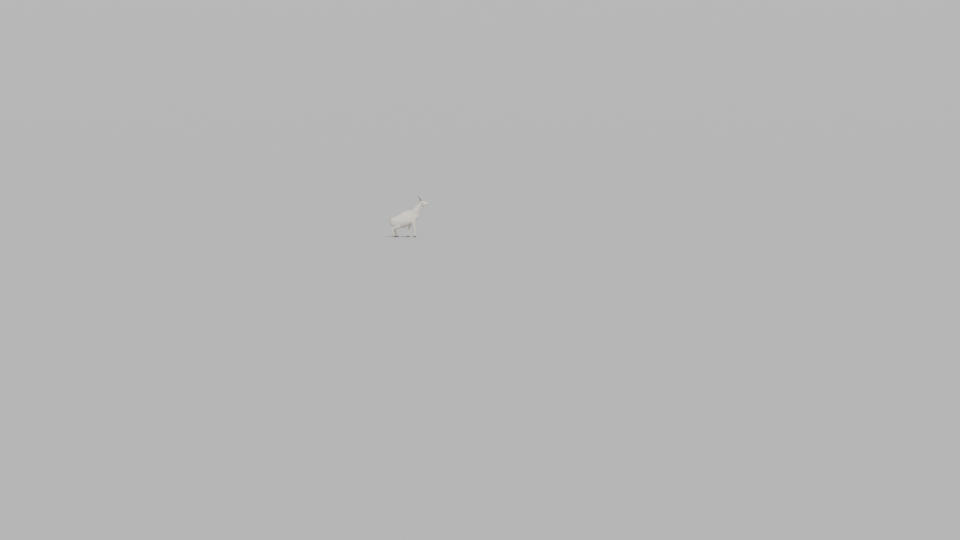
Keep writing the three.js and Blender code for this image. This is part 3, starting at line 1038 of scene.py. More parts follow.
        head = to_head(places)
        mouth = FaceLines.distance(head, FaceLines.laid(head, FaceLines.MOUTH))
        nostril = FaceLines.distance(head, FaceLines.laid(head, FaceLines.NOSTRIL))
        front = smooth(*self.LIP_FULL, head[:, 0])
        rise = (self.LIP.of(mouth) + self.MOUTH_FRONT.of(mouth)) * front
        rise += self.MOUTH_CORNER.of(mouth)
        rise += self.NOSTRIL_WING.of(nostril) + self.NOSTRIL_HOLE.of(nostril)
        rise += self.CHEEK.of(FaceLines.distance(head, FaceLines.CHEEK))
        philtrum = smooth(*self.PHILTRUM_LOW, head[:, 2]) * smooth(*self.PHILTRUM_HIGH, head[:, 2])
        philtrum *= smooth(*self.PHILTRUM_AHEAD, head[:, 0])
        rise += self.PHILTRUM.of(head[:, 1]) * philtrum
        places = places + normals_of(skin.data) * rise[:, None] * MM
        set_places(skin.data, places)
        return np.maximum(bare, self._darkness(places, head, mouth, nostril))

    def _darkness(self, places: Array, head: Array, mouth: Array, nostril: Array) -> Array:
        """Finds the bare skin of the nose, nostrils and lips.

        Args:
            places: the skin's vertices.
            head: the same, measured from the head's line before the folds were raised.
            mouth: how far each is from the mouth, in millimetres.
            nostril: how far each is from a nostril.

        Returns:
            For each vertex how dark it is.
        """
        ahead, side, up = head.T
        heights, widths = zip(*self.NOSE_PAD)
        pad = np.abs(side) / np.maximum(np.interp(up, heights, widths), 0.5)
        edge = self.RAGGED.at(places)
        wander = self.RAGGED_PAD * edge
        dark = smooth(*self.PAD_EDGE, pad + edge) * smooth(*self.PAD_AHEAD, ahead + wander)
        dark *= smooth(*self.PAD_LOW, up) * smooth(*self.PAD_HIGH, up + wander)
        slit = self.SLIT_BACK + self.SLIT_WIDER * smooth(*self.SLIT_AHEAD, ahead)
        slit = [slit + end for end in self.SLIT_EDGE]
        dark = np.maximum(dark, smooth(*slit, nostril + self.RAGGED_SLIT * edge))
        front = smooth(*self.LIP_FULL, ahead)
        ends = [end + more * front for end, more in self.LIP_EDGE]
        lips = smooth(*ends, mouth + self.RAGGED_LIPS * edge)
        return np.maximum(dark, lips)

    def _lids(self, places: Array, hand: int) -> tuple[Array, Array]:
        """Shapes the lids of one eye over its ball.

        Args:
            places: the skin's vertices.
            hand: which eye.

        Returns:
            The moved vertices, and how dark each is as part of a lid's rim.
        """
        eyes = self.eyes
        h, v, a = eyes.local(places, hand)
        out = eyes.axes(hand)[2]
        near = smooth(*self.LID_NEAR, np.sqrt(h**2 + v**2 + a**2)) * smooth(*self.LID_FRONT, a)
        opening = eyes.opening(h, v)
        ball = np.sqrt(np.maximum(eyes.radius**2 - h**2 - v**2, self.BALL_EDGE))
        inside = smooth(*self.SHOWN, opening)
        shaped = (ball + self.LID_OVER) * (1 - inside) + (ball - self.LID_UNDER) * inside
        blend = smooth(*self.LID_REACH, opening) * near
        fold = self.LID_FOLD.of(opening) * smooth(*self.FOLD_ABOVE, v) * near
        moved = a * (1 - blend) + shaped * blend - fold
        cover = np.sqrt(np.maximum((eyes.radius + self.COVER) ** 2 - h**2 - v**2, 0))
        covered = (cover > 0) & (opening > self.SHOWN[0]) & (near > 0.5)
        moved = np.where(covered, np.maximum(moved, cover), moved)
        rim = smooth(*self.LID_RIM, opening) * near
        corner = self.TEAR_AHEAD.of(h) * self.TEAR_UP.of(v) * near
        return places + out * ((moved - a) * MM)[:, None], np.maximum(rim, self.TEAR_TONE * corner)


# The coat of solid tufts


@dataclass
class Roots:
    """Where tufts grow, and how the coat lies there."""

    places: Array
    normals: Array
    lie: Lie
    maps: Array
    shade: Array
    to_middle: Array


@dataclass(frozen=True)
class Cut:
    """One kind of tuft: how many rings it has, and the hair lengths it is used for."""

    rings: tuple[float, ...]
    widths: tuple[float, ...]
    longest: float = 1.0

    def stops(self) -> tuple[float, ...]:
        """How far along the rings and the tip are."""
        return (*self.rings, 1.0)


CUTS = (
    Cut((0.0,), (1.0,), 0.0105),
    Cut((0.0, 0.5), (0.9, 0.85), 0.034),
    Cut((0.0, 0.35, 0.7), (0.85, 1.0, 0.7)),
)


@dataclass
class Meshed:
    """The arrays of many like tufts, with a row for each vertex, face or vertex in turn."""

    places: Array
    normals: Array
    quads: Array
    threes: Array
    quads_beneath: Array
    threes_beneath: Array
    maps: Array
    along: Array
    tint: Array


class Tufts:
    """Many like tufts, built up ring by ring and then joined with faces."""

    def __init__(self, cut: Cut, thickness: float) -> None:
        """Starts tufts of one cut, whose thickness is a share of half their width."""
        self.cut = cut
        self.thickness = thickness
        self.corners: list[Array] = []
        self.ways: list[Array] = []

    def ring(self, middle: Array, sides: tuple[Array, Array], shown: Array, curve: Array) -> None:
        """Adds the next ring of every tuft.

        Args:
            middle: the rings' middles.
            sides: the ways across the tufts and out of their backs, as long as half their width.
            shown: the ways that their backs face.
            curve: how the shading turns away from that at their sides.
        """
        across, rise = sides
        self.corners += [middle - across, middle + across, middle + rise * self.thickness]
        self.ways += [shown - curve, shown + curve, shown]

    def tip(self, middle: Array, shown: Array) -> None:
        """Adds the tip of every tuft."""
        self.corners.append(middle)
        self.ways.append(shown)

    def finish(self, maps: Array, tint: Array) -> Meshed:
        """Joins the corners with faces.

        Args:
            maps: where each root is on the unwrap.
            tint: each tuft's own shade, with painted shade towards its lock's sides.

        Returns:
            Their arrays. Of a tuft's faces, the one between its two sides lies beneath.
        """
        size, tufts, rings = len(self.corners), len(self.corners[0]), len(self.cut.rings)
        first = (np.arange(tufts) * size)[:, None]
        round_about = ((0, 1), (1, 2), (2, 0))
        quads = [np.empty((0, 4), np.int64)]
        for here in range(0, 3 * rings - 3, 3):
            for i, j in round_about:
                quads.append(first + np.array((here + j, here + i, here + 3 + i, here + 3 + j)))
        end = 3 * rings - 3
        threes = [first + np.array((0, 1, 2))]
        threes += [first + np.array((end + j, end + i, size - 1)) for i, j in round_about]
        across = np.array([-0.5, 0.5, 0.0] * rings + [0.0])
        along = np.array([*np.repeat(self.cut.rings, 3), 1.0])
        spots = maps[:, None, :] + np.stack((across, along - 0.5), axis=1) * BAKE_PATCH
        return Meshed(
            np.stack(self.corners, axis=1).reshape(-1, 3),
            unit(np.stack(self.ways, axis=1).reshape(-1, 3)),
            np.concatenate(quads),
            np.concatenate(threes),
            np.tile(np.repeat((True, False, False), tufts), rings - 1).astype(bool),
            np.repeat((False, True, False, False), tufts),
            spots.reshape(-1, 2),
            np.tile(along, tufts),
            np.repeat(tint, size),
        )


def own_ways(places: Array, faces: Array) -> Array:
    """The ways that some faces are turned, for each of their corners."""
    first, second, last = (places[faces[:, i]] for i in (0, 1, -1))
    return np.repeat(unit(np.cross(second - first, last - first)), faces.shape[1], axis=0)


def middles_of_locks(places: Array, owner: Array) -> Array:
    """For each place, the middle of all the places in its lock, which owner numbers."""
    sums = np.stack([np.bincount(owner, places[:, i]) for i in range(3)], axis=1)
    return (sums / np.bincount(owner)[:, None])[owner]


def joined_tufts(name: str, parts: list[Meshed]) -> Piece:
    """Makes one object of tufts.

    Args:
        name: the object's name.
        parts: the finished tufts.

    Returns:
        The object, with its map, attributes and shading.
    """

    def joined(values: str) -> Array:
        """One of the parts' arrays, end to end."""
        return np.concatenate([getattr(part, values) for part in parts])

    places = joined("places")
    firsts = np.cumsum([0] + [len(part.places) for part in parts])
    quads = np.concatenate([part.quads + first for part, first in zip(parts, firsts)])
    threes = np.concatenate([part.threes + first for part, first in zip(parts, firsts)])
    corners = np.concatenate((quads.ravel(), threes.ravel()))
    mesh = bpy.data.meshes.new(name)
    mesh.vertices.add(len(places))
    mesh.vertices.foreach_set("co", places.astype(np.float32).ravel())
    mesh.loops.add(len(corners))
    mesh.loops.foreach_set("vertex_index", corners.astype(np.int32))
    mesh.polygons.add(len(quads) + len(threes))
    starts = np.concatenate(
        (np.arange(len(quads)) * 4, len(quads) * 4 + np.arange(len(threes)) * 3)
    )
    mesh.polygons.foreach_set("loop_start", starts.astype(np.int32))
    mesh.update(calc_edges=True)
    layer = mesh.uv_layers.new(name=BAKE_MAP)
    layer.data.foreach_set("uv", joined("maps")[corners].astype(np.float32).ravel())
    set_attribute(mesh, ALONG, joined("along"))
    set_attribute(mesh, TINT, joined("tint"))
    normals = joined("normals")[corners]
    beneath = joined("quads_beneath")
    normals[: quads.size][np.repeat(beneath, 4)] = own_ways(places, quads[beneath])
    beneath = joined("threes_beneath")
    normals[quads.size :][np.repeat(beneath, 3)] = own_ways(places, threes[beneath])
    mesh.normals_split_custom_set(normals.astype(np.float32))
    piece = bpy.data.objects.new(name, mesh)
    bpy.context.collection.objects.link(piece)
    return piece


@dataclass
class Coat:
    """Tufts of hair over the skin, in pieces named by where they are."""

    plan: BodyPlan
    eyes: Eyes
    coverage_body: float = 4.7
    coverage_legs: float = 2.9
    coverage_face: float = 3.2
    leg_hair: Span = (0.030, 0.016)  # the hair's length where a leg's own coverage starts, is full
    width_least: float = 0.0010
    width_share: float = 0.080
    taper: float = 0.6  # a tuft's outline as a share of its length times its width
    bare_or_shaded_from: Span = (0.25, 0.8)  # how bare or painted-shaded the skin is where tufts thin out and stop
    rump_from: float = 0.25  # how far back the rump's piece starts

    length_range: Span = (0.72, 1.2)
    width_range: Span = (0.8, 1.25)
    under_share: float = 0.42  # of the roots grow a plain short tuft under the others
    under_length: float = 0.8
    under_lift: float = 0.55
    thickness: float = 0.4  # of half the width

    lift_flat: float = math.radians(12)  # at a tuft's root where the coat is shortest
    lift_full: float = math.radians(12.5)  # and where it is longest
    lift_hair: Span = (0.005, 0.028)
    tip_share: float = 0.3  # the lift at the tip as a share of that
    sunk_least: float = 0.0001  # how far under the skin a tuft starts where the coat is shortest
    sunk_full: float = 0.0008  # and where it is longest
    sunk_hair: Span = (0.004, 0.016)

    lock_least: float = 0.005
    lock_share: float = 0.35  # a lock's width is lock_least and this share of its hair's length
    gathered: float = 0.55  # how far the tips draw in to their lock's middle
    lock_round: float = 0.42  # how far the shading turns away at a lock's sides
    lock_edge: float = 0.6  # the farthest aside that counts, in lock widths
    lock_lift: Span = (1.12, 0.5)  # the lift at a lock's middle, and how much it falls aside

    # Where the hair is short, the shading leans and turns more and the locks gather less.
    short_hair: Span = (0.020, 0.008)
    short_tilt: float = 0.7
    short_curve: float = 0.6
    short_loose: float = 0.45
    short_tint: float = 0.4

    # How the tufts sway to the side, lift and bend, as waves and as a spread from tuft to tuft.
    SWAY_BROAD, SWAY_FINE, SWAY_SPREAD = Ruffle(0.26, 0.060, 1), Ruffle(0.18, 0.023, 2), 0.09
    LIFT, LIFT_SPREAD = Ruffle(0.22, 0.05, 3), 0.16
    BEND, BEND_SPREAD, BEND_AT = Ruffle(0.3, 0.03, 4), 0.12, 0.3

    # A tuft's own shade: its own share, its lock's, and how much painted shade it gains aside from a
    # middle, with painted light nearer the lock's middle.
    OWN_TINT, LOCK_TINT, SIDE_TINT, SIDE_MIDDLE = 0.6, 0.7, 2.2, 0.25

    # The cells that part the locks: how far they are warped, and their size before steps.
    WARP, WARP_SIZE, WARP_SEED, CELL = 0.004, 0.035, 30, 0.01

    # Hair whose tip would lie over an eye, by its opening, or the mouth is this much shorter.
    EYE_CLEAR, EYE_SHORTER, MOUTH_CLEAR, MOUTH_SHORTER = (1.55, 1.2), 0.72, (7, 3), 0.5

    def build(self, skin: Piece) -> list[Piece]:
        """Grows the whole coat.

        Args:
            skin: the finished skin.

        Returns:
            The coat's pieces.
        """
        roots = self._roots(skin)
        shared = self._shared_out(roots).items()
        return [self._piece(name, roots, np.nonzero(chosen)[0]) for name, chosen in shared]

    def _width(self, hair: Array) -> Array:
        """A tuft's width for its length."""
        return self.width_least + self.width_share * hair

    def _lock_width(self, hair: Array) -> Array:
        """A lock's width for its hair's length."""
        return self.lock_least + self.lock_share * hair

    def _roots(self, skin: Piece) -> Roots:
        """Spreads the roots over the skin.

        Args:
            skin: the finished skin.

        Returns:
            The roots, in an order that runs along the surface.
        """
        mesh = skin.data
        draw = np.random.default_rng(SEED)
        places, normals = places_of(mesh), normals_of(mesh)
        corners = read(mesh.loops, "vertex_index").reshape(-1, 3)
        maps = read(mesh.uv_layers[BAKE_MAP].data, "uv", 2).reshape(-1, 3, 2)
        bare = read(mesh.attributes[BARE_OR_SHADED].data, "value")

        edges = places[corners]
        square = np.cross(edges[:, 1] - edges[:, 0], edges[:, 2] - edges[:, 0])
        areas = np.linalg.norm(square, axis=1) / 2
        middles = edges.mean(axis=1)
        lie = self.plan.at(middles)
        wanted = areas * self._cover(lie) / (self._width(lie.hair) * lie.hair * self.taper)
        wanted *= 1 - smooth(*self.bare_or_shaded_from, bare[corners].mean(axis=1))
        order = np.argsort(self._curve(middles), kind="stable")
        heap = np.cumsum(wanted[order])
        count = int(heap[-1])
        picks = np.searchsorted(heap, (np.arange(count) + draw.random(count)) / count * heap[-1])
        faces = order[np.minimum(picks, len(order) - 1)]

        a, b = draw.random(count), draw.random(count)
        folded = a + b > 1
        a[folded], b[folded] = 1 - a[folded], 1 - b[folded]
        shares = np.stack((1 - a - b, a, b), axis=1)[:, :, None]
        root = (places[corners[faces]] * shares).sum(axis=1)
        normal = unit((normals[corners[faces]] * shares).sum(axis=1))
        lie = self.plan.dress(root, normal)
        lie.hair = lie.hair * self._held_back(root, lie)
        shade, to_middle = self._locks(root, normal, lie)
        return Roots(root, normal, lie, (maps[faces] * shares).sum(axis=1), shade, to_middle)

    def _cover(self, lie: Lie) -> Array:
        """Works out how many tufts deep the coat is.

        Args:
            lie: the coat at some places.

        Returns:
            A number for each place.
        """
        short = smooth(*self.leg_hair, lie.hair)
        legs = self.coverage_body * (1 - short) + self.coverage_legs * short
        is_leg = self.plan.is_near(lie.nearest, "foreleg", "cannon", "gaskin")
        cover = np.where(is_leg, legs, self.coverage_body)
        return np.where(self.plan.is_near(lie.nearest, "face", "ear"), self.coverage_face, cover)

    @staticmethod
    def _curve(points: Array, bits: int = 10) -> Array:
        """Numbers points so that neighbours are mostly near in order.

        Args:
            points: the points.
            bits: how finely each axis is divided, as a power of two.

        Returns:
            A whole number for each.
        """
        low = points.min(axis=0)
        shares = (points - low) / (points.max(axis=0) - low).max()
        cells = (shares * (2**bits - 1)).astype(np.int64)
        code = np.zeros(len(points), np.int64)
        for bit in range(bits):
            for axis in range(3):
                code |= ((cells[:, axis] >> bit) & 1) << (3 * bit + axis)
        return code

    def _held_back(self, root: Array, lie: Lie) -> Array:
        """Keeps the eyes and mouth clear.

        Args:
            root: the roots' places.
            lie: the coat there.

        Returns:
            Each hair's length as a share of what it would be.
        """
        tip = root + lie.flow * lie.hair[:, None]
        share = np.ones(len(root))
        for hand in (LEFT, RIGHT):
            h, v, a = self.eyes.local(tip, hand)
            over = smooth(*self.EYE_CLEAR, self.eyes.opening(h, v)) * (a > 0)
            share = share * (1 - self.EYE_SHORTER * over)
        mouth = FaceLines.distance(to_head(tip), FaceLines.MOUTH)
        return share * (1 - self.MOUTH_SHORTER * smooth(*self.MOUTH_CLEAR, mouth))

    def _locks(self, root: Array, normal: Array, lie: Lie) -> tuple[Array, Array]:
        """Gathers neighbouring roots into locks.

        Args:
            root: the roots' places.
            normal: the ways that the skin faces there.
            lie: the coat there.

        Returns:
            A shade for each root's lock, and the way from each root to its lock's middle.
        """
        draw = np.random.default_rng(SEED + 5)
        warp = swirl(root, self.WARP_SIZE, self.WARP_SEED)
        octave = np.round(2 * np.log2(self._lock_width(lie.hair) / self.CELL))
        size = self.CELL * 2 ** (octave / 2)
        askew = np.linalg.qr(draw.normal(size=(3, 3)))[0]
        cells = np.floor((root + self.WARP * warp) @ askew / size[:, None]).astype(np.int64)
        # A lock's mark packs its cell's three numbers and its octave into one.
        marks = (cells * np.array((1, 1 << 14, 1 << 28))).sum(axis=1) * 16 + octave.astype(np.int64)
        _, owner = np.unique(marks, return_inverse=True)
        to_middle = middles_of_locks(root, owner) - root
        to_middle -= normal * (to_middle * normal).sum(axis=1, keepdims=True)
        return draw.normal(0, 1, owner.max() + 1)[owner], to_middle

    def _shared_out(self, roots: Roots) -> dict[str, Array]:
        """Shares the roots out to the pieces of the coat.

        Args:
            roots: all the roots.

        Returns:
            For each piece's name, which roots it has.
        """
        left = roots.places[:, 0] > 0
        back = roots.places[:, 1] >= self.rump_from

        def on(*names: str) -> Array:
            """Where the nearest run is one of some names."""
            return self.plan.is_near(roots.lie.nearest, *names)

        return {
            "coat_face_left": on("face", "ear") & left,
            "coat_face_right": on("face", "ear") & ~left,
            "coat_neck": on("neck"),
            "coat_flank_left": on("trunk") & left & ~back,
            "coat_flank_right": on("trunk") & ~left & ~back,
            "coat_rump": on("trunk") & back | on("tail"),
            "coat_haunch_left": on("haunch", "gaskin") & left,
            "coat_haunch_right": on("haunch", "gaskin") & ~left,
            "coat_foreleg_left": on("foreleg") & left,
            "coat_foreleg_right": on("foreleg") & ~left,
            "coat_hindlegs": on("cannon"),
        }

    def _piece(self, name: str, roots: Roots, chosen: Array) -> Piece:
        """Makes one piece of the coat.

        Args:
            name: the piece's name.
            roots: all the roots.
            chosen: which of them it has.

        Returns:
            The piece.
        """
        draw = np.random.default_rng(SEED + len(name) + len(chosen))
        longest = [cut.longest for cut in CUTS]
        kinds = np.searchsorted(longest, roots.lie.hair[chosen], side="right")
        under = draw.random(len(chosen)) < self.under_share
        parts = []
        for kind, cut in enumerate(CUTS):
            for low in (False, True):
                of_cut = (kinds == kind) & ((under & (kind > 0)) == low)
                if of_cut.any():
                    grown = CUTS[0] if low else cut
                    parts.append(self._tufts(roots, chosen[of_cut], grown, low, draw))
        return joined_tufts(name, parts)

    def _tufts(
        self, roots: Roots, chosen: Array, cut: Cut, under: bool, draw: np.random.Generator
    ) -> Meshed:
        """Grows many tufts of one cut.

        Args:
            roots: all the roots.
            chosen: which of them these are.
            cut: their rings.
            under: whether they lie short and flat under the others.
            draw: where random numbers come from.

        Returns:
            The tufts.
        """
        count = len(chosen)
        root, normal = roots.places[chosen], roots.normals[chosen]
        usual = roots.lie.hair[chosen]
        hair = usual * draw.uniform(*self.length_range, count) * (self.under_length if under else 1.0)
        width = self._width(usual) * draw.uniform(*self.width_range, count)
        sway = self.SWAY_BROAD.at(root) + self.SWAY_FINE.at(root)
        sway = sway + draw.normal(0, self.SWAY_SPREAD, count)
        lie = turned(roots.lie.flow[chosen], normal, sway)
        lifts = 1 + self.LIFT.at(root) + draw.normal(0, self.LIFT_SPREAD, count)
        lifts = lifts * (self.under_lift if under else 1.0)
        risen = smooth(*self.lift_hair, usual)
        lifts = lifts * (self.lift_flat + (self.lift_full - self.lift_flat) * risen)
        bend = self.BEND.at(root) + draw.normal(0, self.BEND_SPREAD, count)
        short = smooth(*self.short_hair, usual)[:, None]
        tilt, curve = TILT + (1 - TILT) * self.short_tilt * short, ROUND + self.short_curve * short

        pull = roots.to_middle[chosen]
        aside = (pull * np.cross(lie, normal)).sum(axis=1) / self._lock_width(usual)
        off = np.minimum(np.abs(aside), self.lock_edge)
        at_middle, falls = self.lock_lift
        lifts = lifts * (at_middle - falls * off)
        turn_away = -self.lock_round * np.clip(2 * aside, -1, 1)[:, None]
        pull = pull * self.gathered * (1 - self.short_loose * short)

        sunk = smooth(*self.sunk_hair, usual)
        deep = self.sunk_least + (self.sunk_full - self.sunk_least) * sunk
        centre, last = root - normal * deep[:, None], 0.0
        tufts = Tufts(cut, self.thickness)
        for stop, wide in zip(cut.stops(), (*cut.widths, 0.0)):
            middle = (last + stop) / 2
            angle = lifts * (1 + (self.tip_share - 1) * middle)
            ahead = turned(lie, normal, bend * (middle - self.BEND_AT))
            way = ahead * np.cos(angle)[:, None] + normal * np.sin(angle)[:, None]
            centre = centre + way * (hair * (stop - last))[:, None] + pull * (stop - last)
            across = unit(np.cross(ahead, normal))
            rise = np.cross(across, way)
            shown = unit(normal * (1 - tilt) + rise * tilt + across * turn_away)
            if wide:
                half = (width * wide / 2)[:, None]
                tufts.ring(centre, (across * half, rise * half), shown, across * curve)
            else:
                tufts.tip(centre, shown)
            last = stop
        tint = self.OWN_TINT * draw.normal(0, 1, count) + self.LOCK_TINT * roots.shade[chosen]
        # Painted shade: tufts towards a lock's sides are painted creamier, and those near its middle
        # paler.
        tint += self.SIDE_TINT * (off - self.SIDE_MIDDLE)
        tint *= 1 + self.short_tint * short[:, 0]
        return tufts.finish(roots.maps[chosen], tint)


@dataclass
class Beard:
    """Longer hair under the chin, in locks that end at different heights."""

    count: int = 1500
    width: float = 0.0027
    thickness: float = 0.6
    cut: Cut = Cut((0.0, 0.2, 0.42, 0.7), (0.8, 1.0, 0.9, 0.65))

    # Along the head, in its millimetres: the roots' and ends' middles and half extents.
    root_ahead: float = 224.0
    end_ahead: float = 204.0
    half_long: float = 56.0
    half_wide: float = 24.0
    end_long: float = 0.5
    end_wide: float = 0.75
    jaw_up: float = -48.0
    jaw_deep: float = 25.0
    jaw_half: float = 34.0
    hub_up: float = -80.0  # the hair faces away from this height on the beard's own line
    drop_least: float = 30.0
    drop_more: float = 76.0
    drop_range: Span = (-16, 8)
    packed: float = 0.6  # under 1 puts more of the hair near the rim
    domed: float = 0.9

    lock_long: float = 0.24  # a lock's size at the jaw, as a share of half the beard's length
    lock_wide: float = 0.45  # and of half its width
    gathered: float = 0.72  # how far the tips draw in to their lock's middle
    level: Point = (1, 1, 0.25)  # how much of that and of the straying is along each axis
    uneven: float = 0.13  # how much the locks differ in length
    stray: float = 0.0045  # how far a lock's end wanders
    lock_round: float = 0.6
    lock_skew: float = 0.4  # how far the locks' edges wave to and fro
    skew_rates: Span = (5, 9)
    bulge: Span = (0.002, 0.006)
    drift: float = 0.0014
    curl: float = 0.0035
    curl_size: float = 0.045
    curl_seed: int = 20
    lean: float = 0.4
    tints: Point = (0.6, 0.9, 1.4)  # a hair's own share of its shade, its lock's, and the painted shade at its lock's sides
    side_middle: float = 0.4
    on_map: Span = (0.04, 0.02)  # the half extents of the roots' patch on the map

    def build(self) -> Piece:
        """Makes the beard's hair, from the jaw down to a few soft points.

        Returns:
            The beard.
        """
        draw = np.random.default_rng(SEED + 77)
        turn = draw.uniform(0, 2 * math.pi, self.count)
        reach = draw.random(self.count) ** self.packed
        ahead, side = reach * np.cos(turn), reach * np.sin(turn)
        lock = self._locks(ahead, side)
        locks = lock.max() + 1
        drop = self.drop_least + self.drop_more * (1 - reach**2) ** self.domed
        drop = drop * (1 + draw.normal(0, self.uneven, locks)[lock])
        drop += draw.uniform(*self.drop_range, self.count)
        roots, ends = self._spots(ahead, side, drop)
        hub = head_place(self.root_ahead, 0, self.hub_up)
        out = unit((roots - hub) * np.array((1, 1, 0)) + 1e-6)
        ends += (middles_of_locks(ends, lock) - ends) * np.array(self.level) * self.gathered
        ends += draw.normal(0, self.stray, (locks, 3))[lock] * np.array(self.level)
        bulge = (draw.uniform(*self.bulge, self.count) * reach)[:, None]
        drift = draw.normal(0, self.drift, (self.count, 3))
        way = unit(ends - roots)
        across = unit(np.cross(way, out))
        rise = np.cross(across, way)
        aside = ((middles_of_locks(roots, lock) - roots) * across).sum(axis=1)
        aside = np.clip(2 * aside / (self.lock_wide * self.half_wide * MM), -1, 1)
        shown = unit(out + rise * self.lean - across * (self.lock_round * aside)[:, None])
        hair = Tufts(self.cut, self.thickness)
        for stop, wide in zip(self.cut.stops(), (*self.cut.widths, 0.0)):
            middle = roots + (ends - roots) * stop + out * bulge * math.sin(math.pi * stop)
            middle = middle + (self.curl * swirl(middle, self.curl_size, self.curl_seed) + drift) * stop
            if wide:
                half = self.width * wide / 2
                hair.ring(middle, (across * half, rise * half), shown, across * ROUND)
            else:
                hair.tip(middle, shown)
        own, shared, painted_side_shade = self.tints
        tint = own * draw.normal(0, 1, self.count) + shared * draw.normal(0, 1, locks)[lock]
        # Painted shade: hair towards a lock's sides is painted creamier, and near its middle paler.
        tint += painted_side_shade * (np.abs(aside) - self.side_middle)
        maps = np.stack((ahead, side), axis=1) * np.array(self.on_map) + 0.5
        beard = joined_tufts("coat_beard", [hair.finish(maps, tint)])
        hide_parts("beard")
        return beard

    def _spots(self, ahead: Array, side: Array, drop: Array) -> tuple[Array, Array]:
        """Places the ends of the hair.

        Args:
            ahead: how far along the jaw each hair grows, in half lengths of the beard.
            side: how far across, in half widths.
            drop: how far it hangs, in millimetres.

        Returns:
            The roots' places and the tips'.
        """
        roots, ends = [], []
        for f, s, d in zip(ahead * self.half_long, side * self.half_wide, drop):
            jaw = self.jaw_up - self.jaw_deep * math.sqrt(1 - (s / self.jaw_half) ** 2)
            roots.append(head_place(self.root_ahead + f, s, jaw))
            ends.append(head_place(self.end_ahead + f * self.end_long, s * self.end_wide, jaw - d))
        return np.array(roots), np.array(ends)

    def _locks(self, ahead: Array, side: Array) -> Array:
        """Parts the hair into locks.

        Args:
            ahead: how far along the jaw each hair grows, in half lengths of the beard.
            side: how far across, in half widths.

        Returns:
            The number of each hair's lock.
        """
        to_side, to_front = (
            self.lock_skew * np.sin(rate * way) for rate, way in zip(self.skew_rates, (side, ahead))
        )
        row = np.floor(ahead / self.lock_long + to_side).astype(int)
        column = np.floor(side / self.lock_wide + to_front + 0.5).astype(int)
        return np.unique(row * 100 + column, return_inverse=True)[1]


# Eyes, horns, hooves and dewclaws


@dataclass
class Eyeball:
    """An eye: a ball with a raised clear front, over its amber iris."""

    eyes: Eyes
    cornea_rise: float = 0.0011
    cornea_half: float = 0.0115
    cornea_curve: float = 1.5

    def build(self, hand: int, name: str, node: str) -> Piece:
        """Makes one eye.

        Args:
            hand: which side it is on.
            name: the piece's name.
            node: the node that it stands for.

        Returns:
            The eye, with a map that is square to its axis.
        """
        deselect()
        bpy.ops.mesh.primitive_uv_sphere_add(
            segments=64, ring_count=48, radius=self.eyes.radius * MM, location=(0, 0, 0)
        )
        eye = bpy.context.object
        eye.name = name
        places = places_of(eye.data)
        off = np.hypot(places[:, 0], places[:, 1])
        dome = np.clip(1 - (off / self.cornea_half) ** 2, 0, 1) ** self.cornea_curve
        dome *= places[:, 2] > 0
        places[:, 2] += self.cornea_rise * dome
        flat = places[:, :2] / self.cornea_half * 0.5 + 0.5
        corners = read(eye.data.loops, "vertex_index")
        layer = eye.data.uv_layers.new(name=IRIS_MAP)
        layer.data.foreach_set("uv", flat[corners].astype(np.float32).ravel())
        ahead, _, out = self.eyes.axes(hand)
        turn = np.stack((ahead, np.cross(out, ahead), out), axis=1)
        set_places(eye.data, places @ turn.T + self.eyes.centre(hand))
        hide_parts(node)
        return eye


